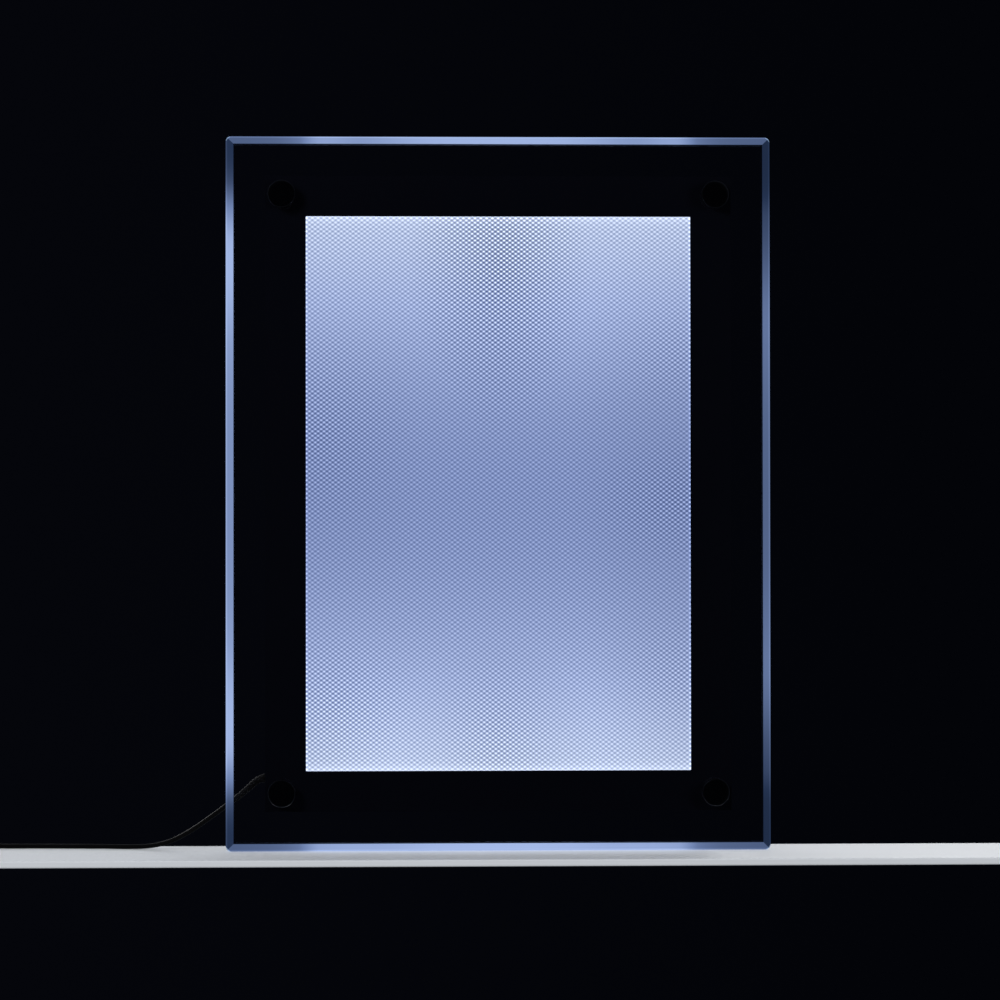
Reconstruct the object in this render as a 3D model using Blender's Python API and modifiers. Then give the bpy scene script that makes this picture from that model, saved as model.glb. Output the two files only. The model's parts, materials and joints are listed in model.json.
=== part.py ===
"""A wall-hung light frame for an A3 sheet.

A clear front plate with a bevelled rim is held by four screw-on caps over a
shallow aluminium tray. The tray holds an edge-lit light guide between two LED
boards, and a thin low-voltage lead leaves it at the lower left.

All sizes are in metres. The frame's own pieces are modelled as they hang, with
x to the right, y up and z out from the wall, under one empty that turns them to
the world, where z is up and the wall is the plane y = 0. The lead, its coil and
its plug are placed in the world directly.
"""

import math

import bmesh
import bpy
import numpy as np
from mathutils import Matrix, Vector

# Clearances and fine sizes shared by all pieces
FIT = 0.0003
BOND = 0.0001
CUT_OVERRUN = 0.002
MERGE = 0.00001

# Lit window, light guide and the sheet's room
WINDOW_WIDTH = 0.284
WINDOW_HEIGHT = 0.409
WINDOW_CORNER = 0.0005
GUIDE_LAP = 0.008
GUIDE_THICKNESS = 0.006
REFLECTOR_THICKNESS = 0.0004
SHEET_CORNER = 0.001
POSTER_ROOM = 0.0014

# LED boards and their holders
LED_LENGTH = 0.0035
LED_WIDTH = 0.0028
LED_HEIGHT = 0.0008
LED_SINK = 0.0002
LED_PITCH = 0.0167
BOARD_THICKNESS = 0.001
BOARD_WIDTH = 0.0072
BOARD_END_ROOM = 0.002
HOLDER_WALL = 0.0012
HOLDER_FOOT = 0.007

# Tray: four channel rails on a flat back cover
RAIL_FLANGE = 0.018
RAIL_WEB = 0.0015
RAIL_SKIN = 0.0012
SIDE_ROOM = 0.004
COVER_THICKNESS = 0.0012
COVER_CORNER = 0.002

# Front plate and its black border
PLATE_MARGIN = 0.029
PLATE_THICKNESS = 0.008
PLATE_BEVEL = 0.006
PLATE_CORNER = 0.004
MASK_THICKNESS = 0.0003

# Studs, barrels, washers and caps
STUD_SIDE = 0.0125
STUD_END = 0.0144
STUD_DIAMETER = 0.008
STUD_CHAMFER = 0.0008
BARREL_DIAMETER = 0.020
BARREL_LENGTH = 0.014
BARREL_BASE = 0.003
BARREL_CHAMFER = 0.0006
SCREW_HEAD_ROOM = 0.004
WALL_SCREW_HOLE = 0.0045
REAR_WASHER_DIAMETER = 0.018
REAR_WASHER_THICKNESS = 0.001
CAP_WASHER_DIAMETER = 0.0194
CAP_WASHER_THICKNESS = 0.001
CAP_DIAMETER = 0.020
CAP_THICKNESS = 0.006
CAP_CHAMFER_WIDTH = 0.0026
CAP_CHAMFER_DEPTH = 0.0014
CAP_BORE_DEPTH = 0.0042

# Corner blocks and the screws that hold the cover to them
BLOCK_WALL = 0.0023
BLOCK_ARM = 0.034
BLOCK_ARM_WIDTH = 0.008
SCREW_DIAMETER = 0.003
SCREW_LENGTH = 0.007
SCREW_HEAD_DIAMETER = 0.0056
SCREW_HEAD_THICKNESS = 0.0017
SCREW_HEAD_CHAMFER = 0.0006

# Wires inside the tray
WIRE_DIAMETER = 0.001
WIRE_BEND = 0.002
WIRE_BEND_STEPS = 4

# Boot where the lead leaves the left rail
BOOT_ENTRY_ROOM = 0.0012
BOOT_INNER_DIAMETER = 0.0048
BOOT_INNER_LENGTH = 0.0015
BOOT_NECK_DIAMETER = 0.0038
BOOT_COLLAR_DIAMETER = 0.0068
BOOT_COLLAR_LENGTH = 0.0015
BOOT_ROOT_DIAMETER = 0.0058
BOOT_TIP_DIAMETER = 0.0044
BOOT_STEP = 0.0001
BOOT_REACH = 0.023
BOOT_DROP = 0.0159
# Along the boot from its collar to its tip: share of its reach, share of its drop
BOOT_PATH_SHARES = (
    (0.13, 0.02),
    (0.26, 0.11),
    (0.39, 0.255),
    (0.52, 0.425),
    (0.65, 0.595),
    (0.78, 0.755),
    (0.90, 0.89),
    (1.0, 1.0),
)

# Lead: where it runs free, from the boot's tip down to the shelf and along it
CORD_DIAMETER = 0.0035
CORD_STEP = 0.0085
CORD_ROUTE = (
    (-0.19524, -0.0210, -0.22589),
    (-0.2030, -0.0208, -0.2317),
    (-0.2120, -0.0202, -0.2383),
    (-0.2225, -0.0188, -0.2457),
    (-0.2330, -0.0168, -0.2522),
    (-0.2450, -0.0143, -0.2578),
    (-0.2580, -0.0117, -0.2607),
    (-0.2720, -0.0094, -0.2615),
    (-0.2900, -0.0070, -0.2615),
    (-0.3090, -0.0051, -0.2615),
    (-0.3280, -0.0038, -0.2615),
    (-0.3450, -0.0030, -0.2615),
    (-0.3610, -0.0027, -0.2615),
    (-0.3750, -0.0026, -0.2613),
    (-0.3880, -0.0026, -0.2608),
    (-0.3990, -0.0026, -0.26055),
    (-0.4052, -0.0026, -0.26055),
)

# Lead: the coil of the length that is put away, flat on the shelf
COIL_CENTRE = (-0.409, -0.0326)
COIL_OUTER = 0.030
COIL_TURNS = 9.25
COIL_START_DEGREES = 90
LOOP_POINTS = 24
TURN_GAP = 0.0005
CLIMB_TURNS = 0.5

# Lead: its free end, from the coil round to the plug
TAIL_ROUTE = (
    (-0.4390, -0.0364, -0.2565),
    (-0.4392, -0.0446, -0.2567),
    (-0.4375, -0.0536, -0.2571),
    (-0.4330, -0.0618, -0.2575),
    (-0.4260, -0.0681, -0.2578),
    (-0.4175, -0.0716, -0.2580),
    (-0.4105, -0.0729, -0.2580),
    (-0.4040, -0.0731, -0.2580),
)

# Tie round the coil
TIE_WIDTH = 0.004
TIE_THICKNESS = 0.0006
TIE_ROOM = 0.0005
TIE_CORNER = 0.002

# Round low-voltage plug
PLUG_GRIP_DIAMETER = 0.0104
PLUG_NOSE_DIAMETER = 0.0084
PLUG_TAIL_DIAMETER = 0.0048
PLUG_LENGTH = 0.024
PLUG_TAIL_LENGTH = 0.009
PLUG_NOSE_LENGTH = 0.0025
SLEEVE_OUTER_DIAMETER = 0.0055
SLEEVE_WALL = 0.0004
SLEEVE_LENGTH = 0.0095
CORE_BORE_DIAMETER = 0.0021
CORE_SETBACK = 0.0006

# Steps round turned pieces and holes, and along a route's curve
ROUTE_STEPS = 24
CAP_STEPS = 28
BARREL_STEPS = 20
SMALL_STEPS = 14
HOLE_STEPS = 20
CORNER_STEPS = 3
PLATE_CORNER_STEPS = 6

# Plan sizes that follow
window_half_w = WINDOW_WIDTH / 2
window_half_h = WINDOW_HEIGHT / 2
guide_half_w = window_half_w + GUIDE_LAP
guide_half_h = window_half_h + GUIDE_LAP
board_inner = guide_half_h + FIT + LED_HEIGHT
board_outer = board_inner + BOARD_THICKNESS
board_middle = (board_inner + board_outer) / 2
board_half = guide_half_w - BOARD_END_ROOM
holder_inner = board_outer + FIT
holder_outer = holder_inner + HOLDER_WALL
tray_half_w = guide_half_w + SIDE_ROOM + RAIL_FLANGE
tray_half_h = holder_outer + FIT + RAIL_FLANGE
plate_half_w = tray_half_w + PLATE_MARGIN
plate_half_h = tray_half_h + PLATE_MARGIN
stud_x = tray_half_w - STUD_SIDE
stud_y = tray_half_h - STUD_END
stud_radius = STUD_DIAMETER / 2
stud_hole = stud_radius + FIT
screw_hole = SCREW_DIAMETER / 2 + FIT

# Depths from the wall that follow
washer_back = BARREL_LENGTH + FIT
washer_front = washer_back + REAR_WASHER_THICKNESS
cover_back = washer_front + FIT
cover_front = cover_back + COVER_THICKNESS
tray_back = cover_front + FIT
reflector_front = tray_back + REFLECTOR_THICKNESS
guide_back = reflector_front + FIT
guide_front = guide_back + GUIDE_THICKNESS
guide_middle = (guide_back + guide_front) / 2
mask_back = guide_front + POSTER_ROOM
mask_front = mask_back + MASK_THICKNESS
tray_front = mask_back - FIT
plate_back = mask_front + BOND
plate_front = plate_back + PLATE_THICKNESS
cap_washer_back = plate_front + FIT
cap_washer_front = cap_washer_back + CAP_WASHER_THICKNESS
cap_back = cap_washer_front + FIT
cap_front = cap_back + CAP_THICKNESS
channel_back = tray_back + RAIL_SKIN
channel_front = tray_front - RAIL_SKIN
channel_middle = (channel_back + channel_front) / 2
board_back = guide_middle - BOARD_WIDTH / 2
board_front = guide_middle + BOARD_WIDTH / 2

# Corner blocks that follow, measured inwards from the rails' webs
block_x = tray_half_w - RAIL_WEB - FIT
block_y = tray_half_h - RAIL_WEB - FIT
hub_w = block_x - stud_x + stud_hole + BLOCK_WALL
hub_h = block_y - stud_y + stud_hole + BLOCK_WALL
screw_x = block_x - (hub_w + BLOCK_ARM) / 2
screw_y = block_y - BLOCK_ARM_WIDTH / 2

# Where the lead enters, just above the lower left corner block
entry_y = -(block_y - hub_h - BOOT_ENTRY_ROOM - BOOT_INNER_DIAMETER / 2)

# Shelf that the lead lies on, level with the plate's lower edge
shelf_z = -plate_half_h
coil_low = shelf_z + TIE_THICKNESS + TIE_ROOM + CORD_DIAMETER / 2
turn_pitch = CORD_DIAMETER + TURN_GAP

CORNERS = {"tl": (-1, 1), "tr": (1, 1), "bl": (-1, -1), "br": (1, -1)}


def clear_scene():
    for old in list(bpy.data.objects):
        bpy.data.objects.remove(old, do_unlink=True)


def finish(name, colour, roughness, metallic=0.0, transmission=0.0, glow=0.0):
    """A plain material in the piece's own colour."""
    made = bpy.data.materials.new(name)
    made.use_nodes = True
    shader = made.node_tree.nodes["Principled BSDF"]
    shader.inputs["Base Color"].default_value = (*colour, 1.0)
    shader.inputs["Roughness"].default_value = roughness
    shader.inputs["Metallic"].default_value = metallic
    shader.inputs["Transmission Weight"].default_value = transmission
    shader.inputs["Emission Color"].default_value = (*colour, 1.0)
    shader.inputs["Emission Strength"].default_value = glow
    return made


def place(made, material, parent=None):
    """Gives an object its material, its parent and its collection."""
    if not made.data.materials:
        made.data.materials.append(material)
    made.parent = parent
    parts.objects.link(made)
    return made


def circle(centre, radius, steps=HOLE_STEPS):
    """A hole's outline, run clockwise so that its wall faces the hole."""
    turns = [-2 * math.pi * k / steps for k in range(steps)]
    return [(centre[0] + radius * math.cos(t), centre[1] + radius * math.sin(t)) for t in turns]


def rounded(half_w, half_h, corner, steps=CORNER_STEPS, middle=(0, 0)):
    """A rectangle's outline with round corners, run anticlockwise."""
    points = []
    for quarter, (sx, sy) in enumerate(((1, 1), (-1, 1), (-1, -1), (1, -1))):
        cx = middle[0] + sx * (half_w - corner)
        cy = middle[1] + sy * (half_h - corner)
        for k in range(steps + 1):
            angle = math.pi / 2 * (quarter + k / steps)
            points.append((cx + corner * math.cos(angle), cy + corner * math.sin(angle)))
    return points


def flat_curve(name, outlines, thickness):
    """A filled flat outline, the first of outlines, with the others as holes."""
    curve = bpy.data.curves.new(name, "CURVE")
    curve.dimensions = "2D"
    curve.fill_mode = "BOTH"
    curve.extrude = thickness / 2
    for outline in outlines:
        spline = curve.splines.new("POLY")
        spline.points.add(len(outline) - 1)
        for point, (x, y) in zip(spline.points, outline):
            point.co = (x, y, 0, 1)
        spline.use_cyclic_u = True
    return curve


def slab(name, outlines, low, high, material, parent=None):
    """A flat piece that fills the depths from low to high."""
    made = bpy.data.objects.new(name, flat_curve(name, outlines, high - low))
    made.location.z = (low + high) / 2
    return place(made, material, parent or wall)


def turned_mesh(name, profile, closed):
    """A profile of (radius, height) points at +X, for a Screw modifier."""
    mesh = bpy.data.meshes.new(name)
    edges = [(k, k + 1) for k in range(len(profile) - 1)]
    if closed:
        edges.append((len(profile) - 1, 0))
    mesh.from_pydata([(r, 0, z) for r, z in profile], edges, [])
    return mesh


def turned(name, mesh, location, material, parent=None, steps=SMALL_STEPS):
    """A turned piece: its profile swept once round the local Z axis."""
    made = bpy.data.objects.new(name, mesh)
    made.location = location
    screw = made.modifiers.new("Turn", "SCREW")
    screw.axis = "Z"
    screw.angle = 2 * math.pi
    screw.steps = steps
    screw.render_steps = steps
    screw.use_merge_vertices = True
    screw.merge_threshold = MERGE
    screw.use_smooth_shade = True
    place(made, material, parent or wall)
    return made


def ring_profile(inner, outer, low, high):
    return [(outer, high), (outer, low), (inner, low), (inner, high)]


def tube(name, points, diameter, material, radius_shares=None, resolution=2, parent=None):
    """A round tube along points, with filled ends."""
    curve = bpy.data.curves.new(name, "CURVE")
    curve.dimensions = "3D"
    curve.bevel_depth = diameter / 2
    curve.bevel_resolution = resolution
    curve.use_fill_caps = True
    spline = curve.splines.new("POLY")
    spline.points.add(len(points) - 1)
    for k, (x, y, z) in enumerate(points):
        spline.points[k].co = (x, y, z, 1)
        spline.points[k].radius = radius_shares[k] if radius_shares else 1
    made = bpy.data.objects.new(name, curve)
    return place(made, material, parent)


def smooth_route(route, step):
    """Points a step apart along a smooth curve through the route's points."""
    points = [Vector(p) for p in route]
    before = 2 * points[0] - points[1]
    after = 2 * points[-1] - points[-2]
    ends = [before, *points, after]
    fine = []
    for a, b, c, d in zip(ends, ends[1:], ends[2:], ends[3:]):
        for k in range(ROUTE_STEPS):
            t = k / ROUTE_STEPS
            fine.append(
                (2 * b + (c - a) * t + (2 * a - 5 * b + 4 * c - d) * t**2
                 + (3 * b - a - 3 * c + d) * t**3) / 2
            )
    fine.append(points[-1])
    line = np.array(fine)
    along = np.concatenate([[0], np.cumsum(np.linalg.norm(np.diff(line, axis=0), axis=1))])
    at = np.linspace(0, along[-1], math.ceil(along[-1] / step) + 1)
    return [tuple(np.interp(s, along, line[:, axis]) for axis in range(3)) for s in at]


def rounded_path(corners, radius):
    """A flat path through corners, each turned on an arc where there is room."""
    points = [corners[0]]
    for before, corner, after in zip(corners, corners[1:], corners[2:]):
        b, c, a = Vector(before), Vector(corner), Vector(after)
        into, out = (c - b).normalized(), (a - c).normalized()
        room = min(radius, (c - b).length / 2, (a - c).length / 2)
        centre = c - into * room + out * room
        for k in range(WIRE_BEND_STEPS + 1):
            t = math.pi / 2 * k / WIRE_BEND_STEPS
            points.append(tuple(centre - out * room * math.cos(t) + into * room * math.sin(t)))
    points.append(corners[-1])
    return points


def box_mesh(name, size, middle=(0, 0, 0)):
    mesh = bpy.data.meshes.new(name)
    shape = bmesh.new()
    bmesh.ops.create_cube(shape, size=1, matrix=Matrix.LocRotScale(Vector(middle), None, Vector(size)))
    shape.to_mesh(mesh)
    shape.free()
    return mesh


def cutter(name, mesh):
    """A hidden solid that only cuts or joins other pieces."""
    made = bpy.data.objects.new(name, mesh)
    made.parent = wall
    made.hide_render = True
    made.display_type = "WIRE"
    cutters.objects.link(made)
    return made


def rods_mesh(name, rods):
    """Round rods along z, each given as centre, radius, low and high."""
    mesh = bpy.data.meshes.new(name)
    shape = bmesh.new()
    for (x, y), radius, low, high in rods:
        bmesh.ops.create_cone(
            shape,
            cap_ends=True,
            segments=HOLE_STEPS,
            radius1=radius,
            radius2=radius,
            depth=high - low,
            matrix=Matrix.Translation((x, y, (low + high) / 2)),
        )
    shape.to_mesh(mesh)
    shape.free()
    return mesh


def combine(made, other, operation="DIFFERENCE"):
    boolean = made.modifiers.new(other.name, "BOOLEAN")
    boolean.operation = operation
    boolean.solver = "EXACT"
    boolean.object = other


def section_mesh(name, outline, half_length, mitred_at=None):
    """A bar along x with the section outline of (outward, depth) points.

    With mitred_at, the ends are cut at 45 degrees, and half_length is the
    length at that outward distance.
    """
    source = bpy.data.objects.new(name, flat_curve(name, [outline], 2 * half_length))
    parts.objects.link(source)
    bpy.context.view_layer.update()
    evaluated = source.evaluated_get(bpy.context.evaluated_depsgraph_get())
    mesh = bpy.data.meshes.new_from_object(evaluated)
    curve = source.data
    bpy.data.objects.remove(source)
    bpy.data.curves.remove(curve)
    mesh.transform(Matrix(((0, 0, 1, 0), (1, 0, 0, 0), (0, 1, 0, 0), (0, 0, 0, 1))))
    shape = bmesh.new()
    shape.from_mesh(mesh)
    bmesh.ops.remove_doubles(shape, verts=shape.verts, dist=MERGE)
    if mitred_at is not None:
        for vertex in shape.verts:
            vertex.co.x = math.copysign(half_length - (mitred_at - vertex.co.y), vertex.co.x)
    bmesh.ops.recalc_face_normals(shape, faces=shape.faces)
    shape.to_mesh(mesh)
    shape.free()
    mesh.materials.clear()
    mesh.name = name
    return mesh


def build_plate():
    """The clear plate: a 45 degree bevel round its front, ground corners and four stud holes.

    The bevelled sheet is made larger than the plate on every side that a
    round-cornered block then cuts, so no two faces lie in one plane.
    """
    block_size = (2 * plate_half_w, 2 * plate_half_h, PLATE_THICKNESS + CUT_OVERRUN)
    sheet_size = (2 * (plate_half_w + CUT_OVERRUN), 2 * (plate_half_h + CUT_OVERRUN), block_size[2])
    middle = (plate_back + plate_front) / 2

    mesh = box_mesh("front_plate", sheet_size, (0, 0, -CUT_OVERRUN / 2))
    shape = bmesh.new()
    shape.from_mesh(mesh)
    rim = [e for e in shape.edges if all(v.co.z > 0 for v in e.verts)]
    bmesh.ops.bevel(
        shape, geom=rim, offset=PLATE_BEVEL + CUT_OVERRUN, segments=1, affect="EDGES", profile=0.5
    )
    shape.to_mesh(mesh)
    shape.free()
    made = bpy.data.objects.new("front_plate", mesh)
    made.location.z = middle
    place(made, clear_acrylic, wall)

    mesh = box_mesh("plate_block", block_size, (0, 0, CUT_OVERRUN / 2))
    shape = bmesh.new()
    shape.from_mesh(mesh)
    uprights = [e for e in shape.edges if abs(e.verts[0].co.z - e.verts[1].co.z) > MERGE]
    bmesh.ops.bevel(
        shape, geom=uprights, offset=PLATE_CORNER, segments=PLATE_CORNER_STEPS, affect="EDGES", profile=0.5
    )
    shape.to_mesh(mesh)
    shape.free()
    block = cutter("plate_block", mesh)
    block.location.z = middle
    combine(made, block, "INTERSECT")
    combine(made, stud_cutter)


def build_mask():
    """The black border bonded to the plate's back, open at the lit window."""
    outer = rounded(tray_half_w, tray_half_h, SHEET_CORNER)
    window = rounded(window_half_w, window_half_h, WINDOW_CORNER)[::-1]
    holes = [circle((sx * stud_x, sy * stud_y), stud_hole) for sx, sy in CORNERS.values()]
    slab("border_mask", [outer, window, *holes], mask_back, mask_front, black_film)


def build_light_guide():
    outline = rounded(guide_half_w, guide_half_h, SHEET_CORNER)
    slab("reflector_sheet", [outline], tray_back, reflector_front, white_film)
    slab("light_guide", [outline], guide_back, guide_front, lit_guide)


def build_cover():
    outer = rounded(tray_half_w, tray_half_h, COVER_CORNER)
    holes = []
    for sx, sy in CORNERS.values():
        holes.append(circle((sx * stud_x, sy * stud_y), stud_hole))
        holes.append(circle((sx * screw_x, sy * screw_y), screw_hole, SMALL_STEPS))
    slab("back_cover", [outer, *holes], cover_back, cover_front, grey_sheet)


def channel_outline(outer):
    """The rails' channel section, open towards the light guide."""
    inner = outer - RAIL_FLANGE
    web = outer - RAIL_WEB
    return [
        (outer, tray_back),
        (outer, tray_front),
        (inner, tray_front),
        (inner, channel_front),
        (web, channel_front),
        (web, channel_back),
        (inner, channel_back),
        (inner, tray_back),
    ]


def build_rails():
    """Four mitred channel rails, drilled for studs, screws and the lead."""
    sides = {
        "rail_top": (tray_half_w, tray_half_h, 0),
        "rail_left": (tray_half_h, tray_half_w, 90),
        "rail_bottom": (tray_half_w, tray_half_h, 180),
        "rail_right": (tray_half_h, tray_half_w, 270),
    }
    for name, (half_length, outer, degrees) in sides.items():
        mesh = section_mesh(name, channel_outline(outer), half_length - FIT, outer)
        made = bpy.data.objects.new(name, mesh)
        made.rotation_euler.z = math.radians(degrees)
        place(made, anodised, wall)
        combine(made, stud_cutter)
        if name in ("rail_top", "rail_bottom"):
            combine(made, screw_cutter)
        if name == "rail_left":
            combine(made, lead_cutter)


def build_corner_blocks():
    """A block in each corner, bored for its stud, with an arm for the screw."""
    for corner, (sx, sy) in CORNERS.items():
        inwards = [
            (0, 0),
            (BLOCK_ARM, 0),
            (BLOCK_ARM, BLOCK_ARM_WIDTH),
            (hub_w, BLOCK_ARM_WIDTH),
            (hub_w, hub_h),
            (0, hub_h),
        ]
        outline = [(sx * (block_x - u), sy * (block_y - v)) for u, v in inwards]
        if sx * sy < 0:
            outline.reverse()
        holes = [
            circle((sx * stud_x, sy * stud_y), stud_hole),
            circle((sx * screw_x, sy * screw_y), screw_hole, SMALL_STEPS),
        ]
        name = f"corner_block_{corner}"
        slab(name, [outline, *holes], channel_back + FIT, channel_front - FIT, black_nylon)


def build_led_sides():
    """A holder and an LED board along the guide's top and bottom edges."""
    foot_back = channel_back + FIT
    foot_front = foot_back + HOLDER_WALL
    foot_end = holder_outer + HOLDER_FOOT
    outline = [
        (holder_inner, tray_back),
        (holder_outer, tray_back),
        (holder_outer, foot_back),
        (foot_end, foot_back),
        (foot_end, foot_front),
        (holder_outer, foot_front),
        (holder_outer, board_front),
        (holder_inner, board_front),
    ]
    holder = section_mesh("led_holder", outline, board_half)
    board_size = (2 * board_half, BOARD_THICKNESS, BOARD_WIDTH)
    board = box_mesh("led_board", board_size, (0, board_middle, guide_middle))
    count = int((2 * board_half - LED_PITCH) / LED_PITCH) + 1
    chips = bpy.data.meshes.new("led_chips")
    shape = bmesh.new()
    for k in range(count):
        low, high = board_inner - LED_HEIGHT, board_inner + LED_SINK
        middle = ((k - (count - 1) / 2) * LED_PITCH, (low + high) / 2, guide_middle)
        size = (LED_LENGTH, high - low, LED_WIDTH)
        bmesh.ops.create_cube(
            shape, size=1, matrix=Matrix.LocRotScale(Vector(middle), None, Vector(size))
        )
    shape.to_mesh(chips)
    shape.free()
    for side, degrees in (("top", 0), ("bottom", 180)):
        turn = math.radians(degrees)
        row = cutter(f"led_chips_{side}", chips)
        row.rotation_euler.z = turn
        made = bpy.data.objects.new(f"led_holder_{side}", holder)
        made.rotation_euler.z = turn
        place(made, anodised, wall)
        made = bpy.data.objects.new(f"led_board_{side}", board)
        made.rotation_euler.z = turn
        place(made, white_board, wall)
        combine(made, row, "UNION")


def build_wires():
    """Two wires from the lead to the lower board, and two up to the upper one."""
    radius = WIRE_DIAMETER / 2
    end_x = -(board_half + FIT)
    gap_x = -(guide_half_w + SIDE_ROOM / 2)
    start_x = -(tray_half_w - RAIL_WEB - FIT - BOOT_INNER_LENGTH - FIT)
    link = [(end_x, -board_middle), (gap_x, -board_middle), (gap_x, board_middle), (end_x, board_middle)]
    feed = [(start_x, entry_y), (gap_x, entry_y), (gap_x, -board_middle), (end_x, -board_middle)]
    wires = (
        ("link_wire_red", link, red_pvc),
        ("link_wire_black", link, black_pvc),
        ("feed_wire_red", feed, red_pvc),
        ("feed_wire_black", feed, black_pvc),
    )
    for layer, (name, corners, material) in enumerate(wires):
        depth = tray_back + radius + layer * (WIRE_DIAMETER + FIT)
        path = rounded_path(corners, WIRE_BEND)
        tube(name, [(x, y, depth) for x, y in path], WIRE_DIAMETER, material, parent=wall)


def build_fixings():
    """At each corner: a wall barrel, a stud, two washers and a cap."""
    bore = stud_hole
    head_room = BARREL_BASE + SCREW_HEAD_ROOM
    radius = BARREL_DIAMETER / 2
    barrel = turned_mesh("standoff_barrel", [
        (radius - BARREL_CHAMFER, BARREL_LENGTH),
        (radius, BARREL_LENGTH - BARREL_CHAMFER),
        (radius, BARREL_CHAMFER),
        (radius - BARREL_CHAMFER, 0),
        (WALL_SCREW_HOLE / 2, 0),
        (WALL_SCREW_HOLE / 2, BARREL_BASE),
        (bore, BARREL_BASE),
        (bore, BARREL_LENGTH),
    ], True)
    stud_low = head_room
    stud_high = cap_back + CAP_BORE_DEPTH - FIT
    stud = turned_mesh("stud", [
        (0, stud_high),
        (stud_radius - STUD_CHAMFER, stud_high),
        (stud_radius, stud_high - STUD_CHAMFER),
        (stud_radius, stud_low + STUD_CHAMFER),
        (stud_radius - STUD_CHAMFER, stud_low),
        (0, stud_low),
    ], False)
    rear = ring_profile(stud_hole, REAR_WASHER_DIAMETER / 2, washer_back, washer_front)
    rear_washer = turned_mesh("rear_washer", rear, True)
    front = ring_profile(stud_hole, CAP_WASHER_DIAMETER / 2, 0, CAP_WASHER_THICKNESS)
    cap_washer = turned_mesh("cap_washer", front, True)
    cap_radius = CAP_DIAMETER / 2
    cap = turned_mesh("stud_cap", [
        (0, CAP_THICKNESS),
        (cap_radius - CAP_CHAMFER_WIDTH, CAP_THICKNESS),
        (cap_radius, CAP_THICKNESS - CAP_CHAMFER_DEPTH),
        (cap_radius, 0),
        (bore, 0),
        (bore, CAP_BORE_DEPTH),
        (0, CAP_BORE_DEPTH),
    ], False)
    for corner, (sx, sy) in CORNERS.items():
        at = (sx * stud_x, sy * stud_y)
        turned(f"standoff_barrel_{corner}", barrel, (*at, 0), chrome, steps=BARREL_STEPS)
        turned(f"stud_{corner}", stud, (*at, 0), steel)
        turned(f"rear_washer_{corner}", rear_washer, (*at, 0), black_rubber, steps=BARREL_STEPS)
        turned(f"cap_washer_{corner}", cap_washer, (*at, cap_washer_back), clear_nylon, steps=BARREL_STEPS)
        turned(f"stud_cap_{corner}", cap, (*at, cap_back), chrome, steps=CAP_STEPS)


def build_cover_screws():
    """A pan-head screw through the cover and rail into each corner block."""
    radius = SCREW_DIAMETER / 2
    head = SCREW_HEAD_DIAMETER / 2
    under = cover_back - FIT
    screw = turned_mesh("cover_screw", [
        (0, under + SCREW_LENGTH),
        (radius, under + SCREW_LENGTH),
        (radius, under),
        (head, under),
        (head, under - SCREW_HEAD_THICKNESS + SCREW_HEAD_CHAMFER),
        (head - SCREW_HEAD_CHAMFER, under - SCREW_HEAD_THICKNESS),
        (0, under - SCREW_HEAD_THICKNESS),
    ], False)
    for corner, (sx, sy) in CORNERS.items():
        turned(f"cover_screw_{corner}", screw, (sx * screw_x, sy * screw_y, 0), steel)


def build_boot():
    """The flexible boot that the lead leaves by, snapped into the left rail."""
    face = -tray_half_w
    inner_end = face + RAIL_WEB + FIT + BOOT_INNER_LENGTH
    inner_start = face + RAIL_WEB + FIT
    collar_start = face - FIT
    collar_end = collar_start - BOOT_COLLAR_LENGTH
    stations = [
        (inner_end, BOOT_INNER_DIAMETER),
        (inner_start, BOOT_INNER_DIAMETER),
        (inner_start - BOOT_STEP, BOOT_NECK_DIAMETER),
        (collar_start + BOOT_STEP, BOOT_NECK_DIAMETER),
        (collar_start, BOOT_COLLAR_DIAMETER),
        (collar_end, BOOT_COLLAR_DIAMETER),
        (collar_end - BOOT_STEP, BOOT_ROOT_DIAMETER),
    ]
    points = [(x, entry_y, channel_middle) for x, _ in stations]
    diameters = [d for _, d in stations]
    for along, down in BOOT_PATH_SHARES:
        points.append((face - along * BOOT_REACH, entry_y - down * BOOT_DROP, channel_middle))
        diameters.append(BOOT_ROOT_DIAMETER + along * (BOOT_TIP_DIAMETER - BOOT_ROOT_DIAMETER))
    shares = [d / BOOT_COLLAR_DIAMETER for d in diameters]
    tube("strain_relief", points, BOOT_COLLAR_DIAMETER, black_pvc, shares, 3, wall)
    print("boot tip, world:", [round(v, 5) for v in (points[-1][0], -points[-1][2], points[-1][1])])


def coil_points():
    """The coil's centre line: in over the lower layer, out over the upper one."""
    points = []
    half = COIL_TURNS / 2
    for k in range(round(COIL_TURNS * LOOP_POINTS) + 1):
        turn = k / LOOP_POINTS
        radius = COIL_OUTER - turn_pitch * min(turn, COIL_TURNS - turn)
        climb = min(max((turn - half) / CLIMB_TURNS + 0.5, 0), 1)
        height = coil_low + turn_pitch * climb * climb * (3 - 2 * climb)
        angle = math.radians(COIL_START_DEGREES) + 2 * math.pi * turn
        points.append(Vector((
            COIL_CENTRE[0] + radius * math.cos(angle),
            COIL_CENTRE[1] + radius * math.sin(angle),
            height,
        )))
    for end, angle_turns, sign in ((0, 0, -1), (-1, COIL_TURNS, 1)):
        angle = math.radians(COIL_START_DEGREES) + 2 * math.pi * angle_turns
        straight = sign * CORD_DIAMETER * Vector((-math.sin(angle), math.cos(angle), 0))
        extra = points[end] + straight
        points = [extra, *points] if end == 0 else [*points, extra]
    return points


def least_gap(points):
    """The least distance between the tube's turns, surface to surface."""
    line = np.array(points)
    away = np.linalg.norm(line[:, None] - line[None], axis=2)
    index = np.arange(len(line))
    near = np.abs(index[:, None] - index[None]) < LOOP_POINTS // 2
    away[near] = np.inf
    return float(away.min()) - CORD_DIAMETER


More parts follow.
